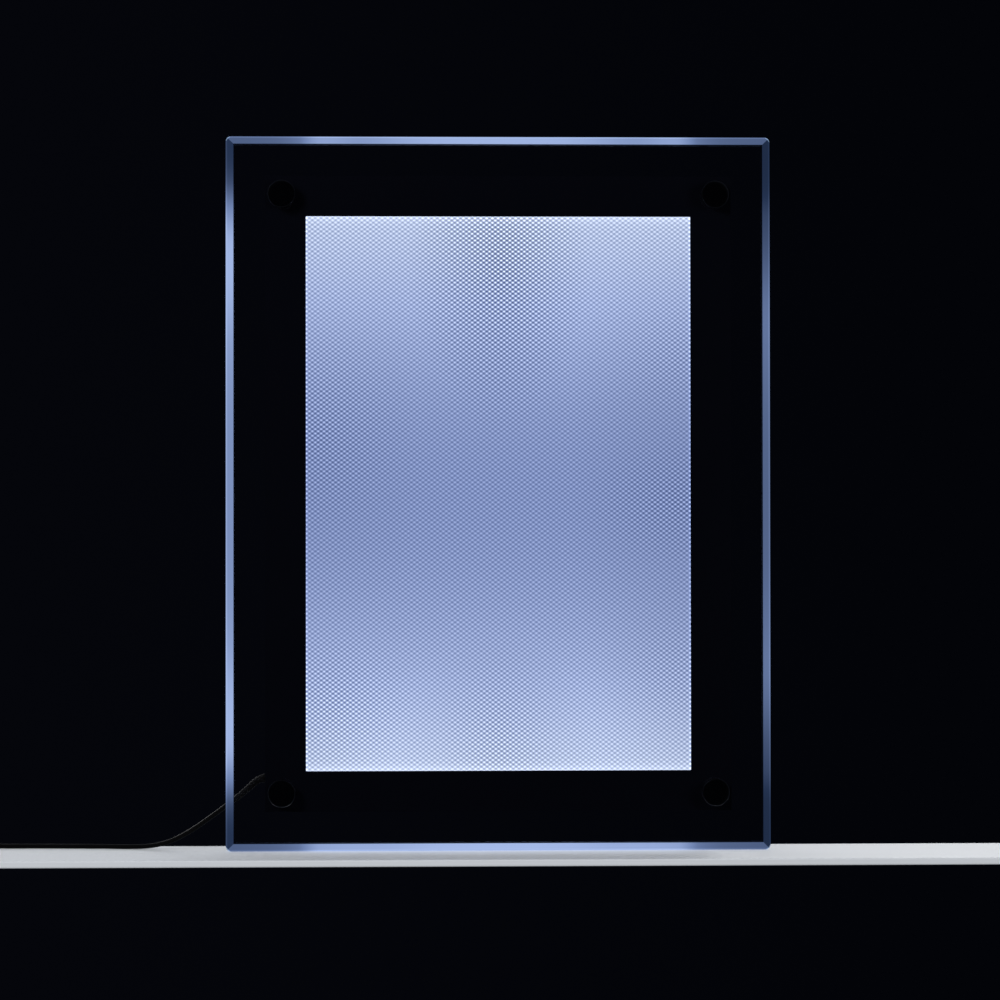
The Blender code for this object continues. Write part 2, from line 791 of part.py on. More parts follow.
def build_lead():
    """The lead: its free run, its coil with a tie, and its end with the plug."""
    run = smooth_route(CORD_ROUTE, CORD_STEP)
    tube("power_cord", run, CORD_DIAMETER, black_pvc)
    coil = coil_points()
    tube("cord_coil", [tuple(p) for p in coil], CORD_DIAMETER, black_pvc, resolution=1)
    tail = smooth_route(TAIL_ROUTE, CORD_STEP)
    tube("cord_tail", tail, CORD_DIAMETER, black_pvc)
    lengths = [sum(math.dist(a, b) for a, b in zip(line, line[1:])) for line in (run, coil, tail)]
    print("lead lengths, m:", [round(v, 4) for v in lengths], "sum", round(sum(lengths), 4))
    print("coil: least gap, mm:", round(least_gap(coil) * 1000, 3))

    inner = COIL_OUTER - turn_pitch * COIL_TURNS / 2
    reach = CORD_DIAMETER / 2 + TIE_ROOM
    left, right = inner - reach, COIL_OUTER + reach
    low, high = coil_low - reach, coil_low + turn_pitch + reach
    middle = ((left + right) / 2, (low + high) / 2)
    half = ((right - left) / 2, (high - low) / 2)
    outer = rounded(half[0] + TIE_THICKNESS, half[1] + TIE_THICKNESS, TIE_CORNER + TIE_THICKNESS, middle=middle)
    hole = rounded(*half, TIE_CORNER, middle=middle)[::-1]
    made = bpy.data.objects.new("cord_tie", flat_curve("cord_tie", [outer, hole], TIE_WIDTH))
    made.rotation_euler.x = math.radians(90)
    made.location = (*COIL_CENTRE, 0)
    place(made, black_strap)
    build_plug()


def build_plug():
    """The round plug, lying on the shelf along x at the end of the tail."""
    seat = bpy.data.objects.new("plug_seat", None)
    seat.location = Vector(TAIL_ROUTE[-1]) + Vector((FIT, 0, 0))
    seat.rotation_euler.y = math.radians(90)
    parts.objects.link(seat)
    grip, nose, tail = PLUG_GRIP_DIAMETER / 2, PLUG_NOSE_DIAMETER / 2, PLUG_TAIL_DIAMETER / 2
    body = turned_mesh("dc_plug_body", [
        (0, PLUG_LENGTH),
        (nose, PLUG_LENGTH),
        (nose, PLUG_LENGTH - PLUG_NOSE_LENGTH),
        (grip, PLUG_LENGTH - PLUG_NOSE_LENGTH),
        (grip, PLUG_TAIL_LENGTH),
        (tail, 0),
        (0, 0),
    ], False)
    turned("dc_plug_body", body, (0, 0, 0), black_pvc, seat, BARREL_STEPS)
    front = PLUG_LENGTH + FIT
    outer = SLEEVE_OUTER_DIAMETER / 2
    sleeve = ring_profile(outer - SLEEVE_WALL, outer, front, front + SLEEVE_LENGTH)
    turned("dc_plug_sleeve", turned_mesh("dc_plug_sleeve", sleeve, True), (0, 0, 0), steel, seat)
    core_outer = outer - SLEEVE_WALL - FIT
    core = ring_profile(CORE_BORE_DIAMETER / 2, core_outer, front, front + SLEEVE_LENGTH - CORE_SETBACK)
    turned("dc_plug_core", turned_mesh("dc_plug_core", core, True), (0, 0, 0), black_nylon, seat)


clear_scene()
parts = bpy.data.collections.new("light_frame")
cutters = bpy.data.collections.new("cutters")
bpy.context.scene.collection.children.link(parts)
bpy.context.scene.collection.children.link(cutters)

clear_acrylic = finish("clear_acrylic", (0.9, 0.93, 1.0), 0.03, transmission=1.0)
black_film = finish("black_film", (0.006, 0.006, 0.008), 0.25)
lit_guide = finish("lit_guide", (0.5, 0.6, 0.9), 0.3, glow=1.0)
white_film = finish("white_film", (0.9, 0.9, 0.9), 0.6)
white_board = finish("white_board", (0.85, 0.86, 0.84), 0.4)
anodised = finish("anodised", (0.03, 0.03, 0.032), 0.4, metallic=0.6)
grey_sheet = finish("grey_sheet", (0.35, 0.36, 0.37), 0.4, metallic=1.0)
black_nylon = finish("black_nylon", (0.02, 0.02, 0.02), 0.5)
black_rubber = finish("black_rubber", (0.015, 0.015, 0.015), 0.8)
clear_nylon = finish("clear_nylon", (0.8, 0.8, 0.8), 0.4, transmission=0.6)
chrome = finish("chrome", (0.6, 0.6, 0.62), 0.1, metallic=1.0)
steel = finish("steel", (0.5, 0.5, 0.5), 0.3, metallic=1.0)
black_pvc = finish("black_pvc", (0.012, 0.012, 0.013), 0.45)
red_pvc = finish("red_pvc", (0.5, 0.02, 0.02), 0.45)
black_strap = finish("black_strap", (0.02, 0.02, 0.02), 0.9)

wall = bpy.data.objects.new("wall", None)
wall.rotation_euler.x = math.radians(90)
parts.objects.link(wall)

stud_cutter = cutter("stud_cutter", rods_mesh("stud_cutter", [
    ((sx * stud_x, sy * stud_y), stud_hole, tray_back - CUT_OVERRUN, plate_front + CUT_OVERRUN)
    for sx, sy in CORNERS.values()
]))
screw_cutter = cutter("screw_cutter", rods_mesh("screw_cutter", [
    ((sx * screw_x, sy * screw_y), screw_hole, tray_back - CUT_OVERRUN, channel_middle)
    for sx, sy in CORNERS.values()
]))
lead_cutter = cutter("lead_cutter", rods_mesh("lead_cutter", [
    ((0, 0), BOOT_NECK_DIAMETER / 2 + FIT, -RAIL_WEB - CUT_OVERRUN, RAIL_WEB + CUT_OVERRUN)
]))
lead_cutter.rotation_euler.y = math.radians(90)
lead_cutter.location = (-tray_half_w, entry_y, channel_middle)

build_plate()
build_mask()
build_light_guide()
build_cover()
build_rails()
build_corner_blocks()
build_led_sides()
build_wires()
build_fixings()
build_cover_screws()
build_boot()
build_lead()
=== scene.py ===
# %% [markdown]
# A light frame that hangs on a wall: how its surfaces are made
#
# The frame is a clear acrylic plate with a bevelled rim, screwed with four round
# caps over a slim aluminium tray. Two rows of LEDs shine into the edges of a
# light guide, so the window glows, and some of that light runs on through the
# plate and comes out at its bevels. These cells give each solid of the finished
# construction its real surface, and make the small turned, moulded and woven
# pieces again with their fine edges.

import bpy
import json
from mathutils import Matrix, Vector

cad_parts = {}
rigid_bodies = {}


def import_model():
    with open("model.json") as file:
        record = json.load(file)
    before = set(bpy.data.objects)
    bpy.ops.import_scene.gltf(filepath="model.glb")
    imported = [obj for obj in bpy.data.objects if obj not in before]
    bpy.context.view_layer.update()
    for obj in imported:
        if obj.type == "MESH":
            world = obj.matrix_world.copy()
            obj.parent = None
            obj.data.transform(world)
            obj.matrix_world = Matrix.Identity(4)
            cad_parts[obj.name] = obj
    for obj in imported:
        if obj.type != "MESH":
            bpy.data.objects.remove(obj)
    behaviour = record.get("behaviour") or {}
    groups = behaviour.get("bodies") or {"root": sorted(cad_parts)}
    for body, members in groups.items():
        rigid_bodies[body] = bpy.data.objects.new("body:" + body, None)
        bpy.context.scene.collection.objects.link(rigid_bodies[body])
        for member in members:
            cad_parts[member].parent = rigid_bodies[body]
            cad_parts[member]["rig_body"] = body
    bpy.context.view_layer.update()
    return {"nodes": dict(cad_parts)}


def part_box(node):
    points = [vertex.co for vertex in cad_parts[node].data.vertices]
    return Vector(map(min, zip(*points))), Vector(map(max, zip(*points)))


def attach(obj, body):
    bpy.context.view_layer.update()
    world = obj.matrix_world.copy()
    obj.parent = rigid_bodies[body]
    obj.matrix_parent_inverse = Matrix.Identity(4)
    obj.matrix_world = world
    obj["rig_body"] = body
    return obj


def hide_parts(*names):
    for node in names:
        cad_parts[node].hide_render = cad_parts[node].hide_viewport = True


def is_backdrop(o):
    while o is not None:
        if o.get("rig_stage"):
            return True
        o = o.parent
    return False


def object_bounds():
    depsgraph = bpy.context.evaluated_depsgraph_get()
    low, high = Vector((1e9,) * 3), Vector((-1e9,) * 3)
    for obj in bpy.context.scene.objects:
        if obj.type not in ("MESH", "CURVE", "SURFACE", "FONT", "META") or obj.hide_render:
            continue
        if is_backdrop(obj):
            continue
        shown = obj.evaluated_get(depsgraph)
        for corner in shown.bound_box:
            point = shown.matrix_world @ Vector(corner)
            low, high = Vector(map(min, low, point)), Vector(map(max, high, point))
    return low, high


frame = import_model()

# %% Modules and units
import json
import math

import bmesh
import bpy
from mathutils import Matrix, Vector

MM = 0.001
MERGE = 0.001 * MM
CORNERS = {"tl": (-1, 1), "tr": (1, 1), "bl": (-1, -1), "br": (1, -1)}

# %% [markdown]
# The camera stands almost square to the frame, about 2.1 metres away, a little
# below its middle and to its left. A wide lens close up would show the plate's
# corners spread apart. Here they keep their right angles, so the lens is a long
# one. The place was found by making the plate's corners and the window's fall
# where the photograph has them.

# %% Camera
CAMERA_PLACE = (-0.0549, -2.1632, -0.0247)
CAMERA_YAW = math.radians(-1.5013)
CAMERA_PITCH = math.radians(0.5311)
CAMERA_ROLL = math.radians(-0.0597)
CAMERA_LENS = 104.17
SENSOR = 36.0

camera_data = bpy.data.cameras.new("camera")
camera_data.lens = CAMERA_LENS
camera_data.sensor_width = SENSOR
camera = bpy.data.objects.new("camera", camera_data)
bpy.context.scene.collection.objects.link(camera)
camera.matrix_world = (
    Matrix.Translation(CAMERA_PLACE)
    @ Matrix.Rotation(CAMERA_YAW, 4, "Z")
    @ Matrix.Rotation(math.pi / 2 + CAMERA_PITCH, 4, "X")
    @ Matrix.Rotation(CAMERA_ROLL, 4, "Z")
)
bpy.context.scene.camera = camera
print("camera at", [round(v, 3) for v in camera.matrix_world.translation])

# %% [markdown]
# A cable has a fixed length and a least bend, so it is drawn as one curve of one
# spline: straight out of its boot, down to the shelf under its own weight, along
# the shelf, and the spare length wound into a flat coil. A smooth curve through a
# few chosen points gives the slack of a real cable. Straight runs joined by arcs
# would look like bent wire. The coil follows a rule, so a loop makes it: in over
# the lower layer, up by one diameter, and out again over the upper layer.

# %% Route of the cable
CORD_DIAMETER = 3.5 * MM
CORD_STEP = 2.5 * MM
ROUTE_STEPS = 24
CORD_ROUTE = (
    (-0.19524, -0.0210, -0.22589),
    (-0.2030, -0.0208, -0.2317),
    (-0.2120, -0.0202, -0.2383),
    (-0.2225, -0.0188, -0.2457),
    (-0.2330, -0.0168, -0.2522),
    (-0.2450, -0.0143, -0.2578),
    (-0.2580, -0.0117, -0.2607),
    (-0.2720, -0.0094, -0.2615),
    (-0.2900, -0.0070, -0.2615),
    (-0.3090, -0.0051, -0.2615),
    (-0.3280, -0.0038, -0.2615),
    (-0.3450, -0.0030, -0.2615),
    (-0.3610, -0.0027, -0.2615),
    (-0.3750, -0.0026, -0.2613),
    (-0.3880, -0.0026, -0.2608),
    (-0.3990, -0.0026, -0.26055),
    (-0.4052, -0.0026, -0.26055),
)
TAIL_ROUTE = (
    (-0.4390, -0.0364, -0.2565),
    (-0.4392, -0.0446, -0.2567),
    (-0.4375, -0.0536, -0.2571),
    (-0.4330, -0.0618, -0.2575),
    (-0.4260, -0.0681, -0.2578),
    (-0.4175, -0.0716, -0.2580),
    (-0.4105, -0.0729, -0.2580),
    (-0.4040, -0.0731, -0.2580),
)
PLUG_ENTRY = 3 * MM
COIL_CENTRE = (-0.409, -0.0326)
COIL_OUTER = 30 * MM
COIL_TURNS = 9.25
COIL_START = math.radians(90)
COIL_CLIMB_TURNS = 0.5
LOOP_POINTS = 48
TURN_GAP = 0.5 * MM
TIE_THICKNESS = 0.6 * MM
TIE_ROOM = 0.5 * MM
turn_pitch = CORD_DIAMETER + TURN_GAP
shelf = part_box("front_plate")[0].z
coil_low = shelf + TIE_THICKNESS + TIE_ROOM + CORD_DIAMETER / 2


def smooth_route(route, step):
    """Points a step apart along a smooth curve through the route's points."""
    points = [Vector(p) for p in route]
    ends = [2 * points[0] - points[1], *points, 2 * points[-1] - points[-2]]
    fine = []
    for a, b, c, d in zip(ends, ends[1:], ends[2:], ends[3:]):
        for k in range(ROUTE_STEPS):
            t = k / ROUTE_STEPS
            fine.append(
                (2 * b + (c - a) * t + (2 * a - 5 * b + 4 * c - d) * t**2
                 + (3 * b - a - 3 * c + d) * t**3) / 2
            )
    fine.append(points[-1])
    chosen = [fine[0]]
    for point in fine[1:-1]:
        if (point - chosen[-1]).length >= step:
            chosen.append(point)
    return [*chosen, fine[-1]]


def coil_line():
    """The coil's centre line: in over the lower layer and out over the upper one."""
    points = []
    for k in range(round(COIL_TURNS * LOOP_POINTS) + 1):
        turn = k / LOOP_POINTS
        radius = COIL_OUTER - turn_pitch * min(turn, COIL_TURNS - turn)
        climb = min(max((turn - COIL_TURNS / 2) / COIL_CLIMB_TURNS + 0.5, 0), 1)
        height = coil_low + turn_pitch * climb * climb * (3 - 2 * climb)
        angle = COIL_START + 2 * math.pi * turn
        points.append(Vector((
            COIL_CENTRE[0] + radius * math.cos(angle),
            COIL_CENTRE[1] + radius * math.sin(angle),
            height,
        )))
    return points


# %% [markdown]
# Where the cable leaves the tray, a soft boot keeps it from kinking. The boot is
# moulded round the cable, so both follow one line, which droops under the cable's
# weight. The cable's curve starts inside the boot and ends inside the plug, as
# the real one does.

# %% Line of the boot
BOOT_COLLAR_DIAMETER = 6.8 * MM
BOOT_REACH = 23 * MM
BOOT_DROP = 15.9 * MM
BOOT_TRUNK = 1.8 * MM
# Along the boot from its collar to its tip: share of its reach, share of its drop
BOOT_PATH_SHARES = (
    (0.13, 0.02),
    (0.26, 0.11),
    (0.39, 0.255),
    (0.52, 0.425),
    (0.65, 0.595),
    (0.78, 0.755),
    (0.90, 0.89),
    (1.0, 1.0),
)
boot_low, boot_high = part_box("strain_relief")
tray_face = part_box("rail_left")[0].x
boot_entry = Vector((tray_face, (boot_low.y + boot_high.y) / 2, boot_high.z - BOOT_COLLAR_DIAMETER / 2))
boot_path = [boot_entry - Vector((BOOT_TRUNK, 0, 0))]
for along, down in BOOT_PATH_SHARES:
    boot_path.append(boot_entry - Vector((along * BOOT_REACH, 0, down * BOOT_DROP)))

# %% Cable curve
cord_points = [
    *boot_path[-4:-1],
    *smooth_route(CORD_ROUTE, CORD_STEP),
    *coil_line(),
    *smooth_route(TAIL_ROUTE, CORD_STEP),
    Vector(TAIL_ROUTE[-1]) + Vector((PLUG_ENTRY, 0, 0)),
]
cord_length = sum((b - a).length for a, b in zip(cord_points, cord_points[1:]))
cord_curve = bpy.data.curves.new("cable", "CURVE")
cord_curve.dimensions = "3D"
cord_curve.bevel_depth = CORD_DIAMETER / 2
cord_curve.bevel_resolution = 4
cord_curve.use_fill_caps = True
cord_spline = cord_curve.splines.new("POLY")
cord_spline.points.add(len(cord_points) - 1)
for held, point in zip(cord_spline.points, cord_points):
    held.co = (*point, 1)
cord_spline.use_smooth = True
cable = bpy.data.objects.new("cable", cord_curve)
bpy.context.scene.collection.objects.link(cable)
print("cable length, m:", round(cord_length, 4), "points:", len(cord_points))

# %% [markdown]
# A finish is a small network of nodes. One helper adds a node, sets its options
# and joins its inputs, and everything else is written out, so each network can be
# read from top to bottom. Colours are written as the hex values that a screen
# shows, and one function turns them into the linear values that light adds up in.


# %% Colour and node helpers
def linear(code):
    """The linear colour of an sRGB hex value."""
    shares = [int(code[k:k + 2], 16) / 255 for k in (1, 3, 5)]
    return (*[s / 12.92 if s <= 0.04045 else ((s + 0.055) / 1.055) ** 2.4 for s in shares], 1.0)


def add(tree, kind, options=None, inputs=None):
    """One node, with its options and with what feeds its inputs."""
    node = tree.nodes.new("ShaderNode" + kind)
    for name, value in (options or {}).items():
        setattr(node, name, value)
    for name, value in (inputs or {}).items():
        if isinstance(value, bpy.types.Node):
            value = value.outputs[0]
        if isinstance(value, bpy.types.NodeSocket):
            tree.links.new(value, node.inputs[name])
        else:
            node.inputs[name].default_value = value
    return node


def set_ramp(ramp, stops):
    """Gives a colour ramp its stops, each a position and a linear colour."""
    held = ramp.color_ramp.elements
    while len(held) < len(stops):
        held.new(0.5)
    for stop, (position, colour) in zip(held, stops):
        stop.position = position
        stop.color = colour


def start_finish(name, code, roughness, metallic=0.0):
    """A new material, with its node tree and its shader."""
    made = bpy.data.materials.new(name)
    made.use_nodes = True
    shader = made.node_tree.nodes["Principled BSDF"]
    shader.inputs["Base Color"].default_value = linear(code)
    shader.inputs["Roughness"].default_value = roughness
    shader.inputs["Metallic"].default_value = metallic
    return made, made.node_tree, shader


def dress(node, finish):
    """Gives a solid of the frame its finish."""
    held = frame["nodes"][node].data.materials
    held.clear()
    held.append(finish)


print("mid grey is", round(linear("#808080")[0], 4))

# %% [markdown]
# Few surfaces are even. Dies, drawing tools and moulds leave a grain of a real
# size, which shows in two ways: as height, and as a change of gloss. This helper
# makes both from one noise. Stretched along one axis, the same noise becomes the
# lines of an extrusion or of a brush.


# %% Grain
def add_grain(tree, shader, size, height, gloss, stretch=(1, 1, 1), detail=3.0):
    """Varies a finish over its real grain: its roughness between two values, and its height."""
    place = add(tree, "TexCoord")
    scale = [share / size for share in stretch]
    grid = add(tree, "Mapping", None, {"Vector": place.outputs["Object"], "Scale": scale})
    noise = add(tree, "TexNoise", None, {"Vector": grid, "Scale": 1.0, "Detail": detail})
    spread = add(tree, "MapRange", None, {"Value": noise, "To Min": gloss[0], "To Max": gloss[1]})
    bump = add(tree, "Bump", None, {"Height": noise, "Distance": height, "Strength": 0.6})
    tree.links.new(spread.outputs["Result"], shader.inputs["Roughness"])
    tree.links.new(bump.outputs["Normal"], shader.inputs["Normal"])
    return noise


print("grain sizes are given in metres, such as", 0.2 * MM)

# %% [markdown]
# The frame was photographed in the dark, and its glow needs that dark. So the
# world that the camera, mirrors and glass see is nearly black, and soft boxes and
# a plain fill light the surfaces, which keeps their own colours true. Seen from
# the side or from behind, the room turns to a calm grey, against which black
# aluminium and cable still show. The direction of a ray, and not the camera,
# says which part of the room it meets.

# %% World
ROOM_DARK_LEFT, ROOM_DARK_RIGHT = "#05060B", "#030408"
ROOM_GREY = "#5B6068"
FILL_GREY = "#FFFFFF"
FILL_STRENGTH = 0.35

world = bpy.data.worlds.new("dark_room")
bpy.context.scene.world = world
world.use_nodes = True
tree = world.node_tree
tree.nodes.clear()
way = add(tree, "TexCoord")
axes = add(tree, "SeparateXYZ", None, {0: way.outputs["Generated"]})
light_path = add(tree, "LightPath")
# Looking at the wall the room is dark, and looking back from it the room is grey
seen = add(tree, "MapRange", {"interpolation_type": "SMOOTHSTEP"},
           {"Value": axes.outputs["Y"], "From Min": 0.93, "From Max": 0.1})
# A mirror that faces the camera meets the dark room, and one that faces the wall the grey one
mirrored = add(tree, "MapRange", {"interpolation_type": "SMOOTHSTEP"},
               {"Value": axes.outputs["Y"], "From Min": -0.5, "From Max": 0.3})
# A ray that runs on through glass counts as glossy too, and still sees what lies behind the glass
is_mirrored = add(tree, "Math", {"operation": "SUBTRACT"},
                  {0: light_path.outputs["Is Glossy Ray"], 1: light_path.outputs["Is Transmission Ray"]})
is_mirrored.use_clamp = True
# What the plate's back throws forward again leaves it at a third surface, and meets the dark room
is_straight = add(tree, "Math", {"operation": "LESS_THAN"}, {0: light_path.outputs["Ray Depth"], 1: 2.5})
seen_straight = add(tree, "Math", {"operation": "MULTIPLY"}, {0: seen, 1: is_straight})
greyness = add(tree, "Mix", None, {0: is_mirrored, 2: seen_straight.outputs[0], 3: mirrored.outputs[0]})
# The dark itself is a little lighter to the left, where the room lies open
to_right = add(tree, "MapRange", None, {"Value": axes.outputs["X"], "From Min": -0.17, "From Max": 0.17})
room_dark = add(tree, "Mix", {"data_type": "RGBA"},
                {0: to_right, 6: linear(ROOM_DARK_LEFT), 7: linear(ROOM_DARK_RIGHT)})
backdrop = add(tree, "Mix", {"data_type": "RGBA"}, {0: greyness, 6: room_dark.outputs[2], 7: linear(ROOM_GREY)})
glossy_or_camera = add(tree, "Math", {"operation": "MAXIMUM"},
                       {0: light_path.outputs["Is Camera Ray"], 1: light_path.outputs["Is Glossy Ray"]})
shown = add(tree, "Math", {"operation": "MAXIMUM"},
            {0: glossy_or_camera, 1: light_path.outputs["Is Transmission Ray"]})
picture = add(tree, "Background", None, {"Color": backdrop.outputs[2]})
fill = add(tree, "Background", None, {"Color": linear(FILL_GREY), "Strength": FILL_STRENGTH})
chosen = add(tree, "MixShader", None, {0: shown, 1: fill, 2: picture})
add(tree, "OutputWorld", None, {"Surface": chosen})
print("world:", ROOM_DARK_LEFT, "in front,", ROOM_GREY, "behind")

# %% [markdown]
# A lamp's strength is given as a share of the plain level, at which a white card
# that faces it renders as white. That makes the numbers easy to balance: with the
# fill they add up to about one on the front. A square lamp of power P at distance
# d gives a facing card P / (pi d^2), and the plain level is pi, so the power is
# share * pi^2 * d^2. The lamps at the front light matt surfaces only: the frame
# was photographed by its own light, and a mirrored box would hide that. At the
# back, broad boxes show in the metal, and none is seen through the clear plate.

# %% Soft boxes
# Name: place, side of the box, share of the plain level, whether metal mirrors it
LAMPS = {
    "key": ((-0.86, -1.42, 0.62), 0.45, 0.55, False),
    "side_fill": ((0.98, -1.35, 0.25), 0.5, 0.25, False),
    "rear_key": ((0.95, 1.5, 0.9), 1.2, 0.55, True),
    "rear_fill": ((-1.2, 1.2, 0.3), 1.2, 0.35, True),
}
for name, (place, side, share, shows) in LAMPS.items():
    lamp_data = bpy.data.lights.new(name, "AREA")
    lamp_data.size = side
    lamp_data.energy = share * math.pi**2 * Vector(place).length_squared
    lamp = bpy.data.objects.new(name, lamp_data)
    lamp.matrix_world = Matrix.Translation(place) @ Vector(place).to_track_quat("Z", "Y").to_matrix().to_4x4()
    lamp.visible_camera = False
    lamp.visible_transmission = False
    lamp.visible_glossy = shows
    bpy.context.scene.collection.objects.link(lamp)
    print(name, "power", round(lamp_data.energy, 2), "W")

# %% [markdown]
# The cable lies on a surface level with the plate's lower edge. It is a pale,
# matt shelf, as deep as the coil and the plug need. Were it deeper, the black
# border and the clear margin would mirror it to the camera.

# %% Shelf
SHELF_BACK = 0.010
SHELF_FRONT = -0.086
SHELF_LEFT = -0.62
SHELF_RIGHT = 0.46
SHELF_THICKNESS = 5 * MM
CARD_GRAIN = 0.6 * MM

shelf_finish, tree, shader = start_finish("matt_white_laminate", "#C8CCD2", 0.6)
add_grain(tree, shader, CARD_GRAIN, 0.01 * MM, (0.5, 0.65))
shelf_mesh = bpy.data.meshes.new("shelf")
shape = bmesh.new()
shelf_size = (SHELF_RIGHT - SHELF_LEFT, SHELF_BACK - SHELF_FRONT, SHELF_THICKNESS)
shelf_middle = ((SHELF_LEFT + SHELF_RIGHT) / 2, (SHELF_BACK + SHELF_FRONT) / 2, shelf - SHELF_THICKNESS / 2)
bmesh.ops.create_cube(shape, size=1, matrix=Matrix.LocRotScale(Vector(shelf_middle), None, Vector(shelf_size)))
bmesh.ops.bevel(shape, geom=shape.edges[:], offset=1 * MM, segments=2, affect="EDGES", profile=0.5)
shape.to_mesh(shelf_mesh)
shape.free()
shelf_mesh.materials.append(shelf_finish)
shelf_board = bpy.data.objects.new("shelf", shelf_mesh)
shelf_board.visible_glossy = False
bpy.context.scene.collection.objects.link(shelf_board)
shelf_board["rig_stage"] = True
print("shelf top at", round(shelf, 4))

# %% [markdown]
# The lit panel is a sheet of clear acrylic with a lattice of small dots lasered
# into its back. Light that enters at the upper and lower edges stays inside the
# sheet until it meets a dot, which sends it out. Close to the LEDs the light is
# stronger and whiter, and each crossing of the sheet takes some of it, so along
# the height the brightness follows a hyperbolic cosine. Between the dots lie
# darker dashes, and the product of two cosines has just this pattern.

# %% Lit panel: sizes and colours
DOT_ACROSS = 4.29 * MM
DOT_ROWS = 3.28 * MM
FADE_HEIGHT = 400 * MM
# From the panel's middle to its lit ends: share of the rise of light, colour
PANEL_COLOURS = ((0.0, "#8394C5"), (0.46, "#A4B4DF"), (1.0, "#C0CEED"))
DOT_CONTRAST = 0.54
# A dot's peak is whiter than the panel, and the dash beside it bluer: contrast by red, green, blue
DOT_TINT = (1.10, 1.0, 0.77)
EDGE_GLOW = "#8A8E98"
EDGE_GLOW_DEPTH = 2.5 * MM
SIDE_LINE_WIDTH = 1.8 * MM
SIDE_LINE_GAIN = 0.5
# Where the lattice stands out more: middle, radii across and up, added contrast
STRONG_DOTS = (
    ((2 * MM, 165 * MM), (66 * MM, 122 * MM), 0.92),
    ((-132 * MM, 46 * MM), (66 * MM, 78 * MM), 0.47),
    ((133 * MM, -6 * MM), (66 * MM, 46 * MM), 0.54),
    ((133 * MM, 100 * MM), (44 * MM, 44 * MM), 0.27),
    ((133 * MM, -134 * MM), (44 * MM, 44 * MM), 0.27),
    ((-123 * MM, -156 * MM), (63 * MM, 55 * MM), 0.50),
    ((0, -178 * MM), (44 * MM, 63 * MM), 0.42),
)
# Where the panel is a little dimmer or brighter: the same, with the change of its light
UNEVEN_PATCHES = (
    ((0, 172 * MM), (68 * MM, 110 * MM), -0.17),
    ((0, -200 * MM), (75 * MM, 95 * MM), -0.13),
    ((-142 * MM, 20 * MM), (90 * MM, 130 * MM), -0.06),
    ((142 * MM, 0), (90 * MM, 220 * MM), -0.10),
    ((0, -185 * MM), (190 * MM, 60 * MM), 0.08),
    ((30 * MM, 125 * MM), (120 * MM, 70 * MM), 0.05),
    ((142 * MM, -165 * MM), (75 * MM, 110 * MM), -0.07),
    ((-142 * MM, -185 * MM), (60 * MM, 90 * MM), -0.06),
)

window_low = Vector(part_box("light_guide")[0]) + Vector((8 * MM, 0, 8 * MM))
window_half_w = -window_low.x
window_half_h = -window_low.z
print("window, mm:", round(2 * window_half_w / MM, 1), "by", round(2 * window_half_h / MM, 1))


# %% Lit panel: its finish
def add_patches(tree, place, patches, start):
    """A value that starts even and changes over soft round patches, most at their middles."""
    level = start
    for (x, z), (radius_x, radius_z), change in patches:
        patch = add(tree, "Mapping", {"vector_type": "TEXTURE"},
                    {"Vector": place, "Location": (x, 0, z), "Scale": (radius_x, 1, radius_z)})
        soft = add(tree, "TexGradient", {"gradient_type": "SPHERICAL"}, {"Vector": patch})
        level = add(tree, "Math", {"operation": "MULTIPLY_ADD"}, {0: soft.outputs[1], 1: change, 2: level})
    return level


lit_acrylic, tree, shader = start_finish("edge_lit_acrylic", "#20242C", 0.5)
place = add(tree, "TexCoord")
axes = add(tree, "SeparateXYZ", None, {0: place.outputs["Object"]})
across = add(tree, "Math", {"operation": "MULTIPLY"}, {0: axes.outputs["X"], 1: 2 * math.pi / DOT_ACROSS})
rows = add(tree, "Math", {"operation": "MULTIPLY"}, {0: axes.outputs["Z"], 1: 2 * math.pi / DOT_ROWS})
across_wave = add(tree, "Math", {"operation": "COSINE"}, {0: across})
row_wave = add(tree, "Math", {"operation": "COSINE"}, {0: rows})
dots = add(tree, "Math", {"operation": "MULTIPLY"}, {0: across_wave, 1: row_wave})
# A dot is small and bright and the dash between two dots broad and dim, as an exponent makes them.
# The mean of exp(c f) is near 1 + c squared / 8, and dividing by it leaves the mean level as it was.
# Raised to the swing, powers of e give each channel its own share of the contrast.
contrast = add_patches(tree, place.outputs["Object"], STRONG_DOTS, DOT_CONTRAST)
swing = add(tree, "Math", {"operation": "MULTIPLY"}, {0: dots, 1: contrast})
peaks = add(tree, "Gamma", None, {"Color": (*[math.exp(tint) for tint in DOT_TINT], 1), "Gamma": swing})
contrast_squared = add(tree, "Math", {"operation": "MULTIPLY"}, {0: contrast, 1: contrast})
peaks_mean = add(tree, "VectorMath", {"operation": "MULTIPLY_ADD"},
                 {0: contrast_squared, 1: [tint**2 / 8 for tint in DOT_TINT], 2: (1, 1, 1)})
even_peaks = add(tree, "VectorMath", {"operation": "DIVIDE"}, {0: peaks, 1: peaks_mean})
evenness = add_patches(tree, place.outputs["Object"], UNEVEN_PATCHES, 1.0)
dot_gain = add(tree, "VectorMath", {"operation": "SCALE"}, {0: even_peaks, "Scale": evenness})

# The panel's own colour
height_share = add(tree, "Math", {"operation": "DIVIDE"}, {0: axes.outputs["Z"], 1: FADE_HEIGHT})
fade = add(tree, "Math", {"operation": "COSH"}, {0: height_share})
fade_end = math.cosh(window_half_h / FADE_HEIGHT)
fade_share = add(tree, "MapRange", None, {"Value": fade, "From Min": 1.0, "From Max": fade_end})
base_glow = add(tree, "ValToRGB", None, {0: fade_share})
set_ramp(base_glow, [(share, linear(code)) for share, code in PANEL_COLOURS])
dotted_glow = add(tree, "VectorMath", {"operation": "MULTIPLY"}, {0: base_glow, 1: dot_gain})

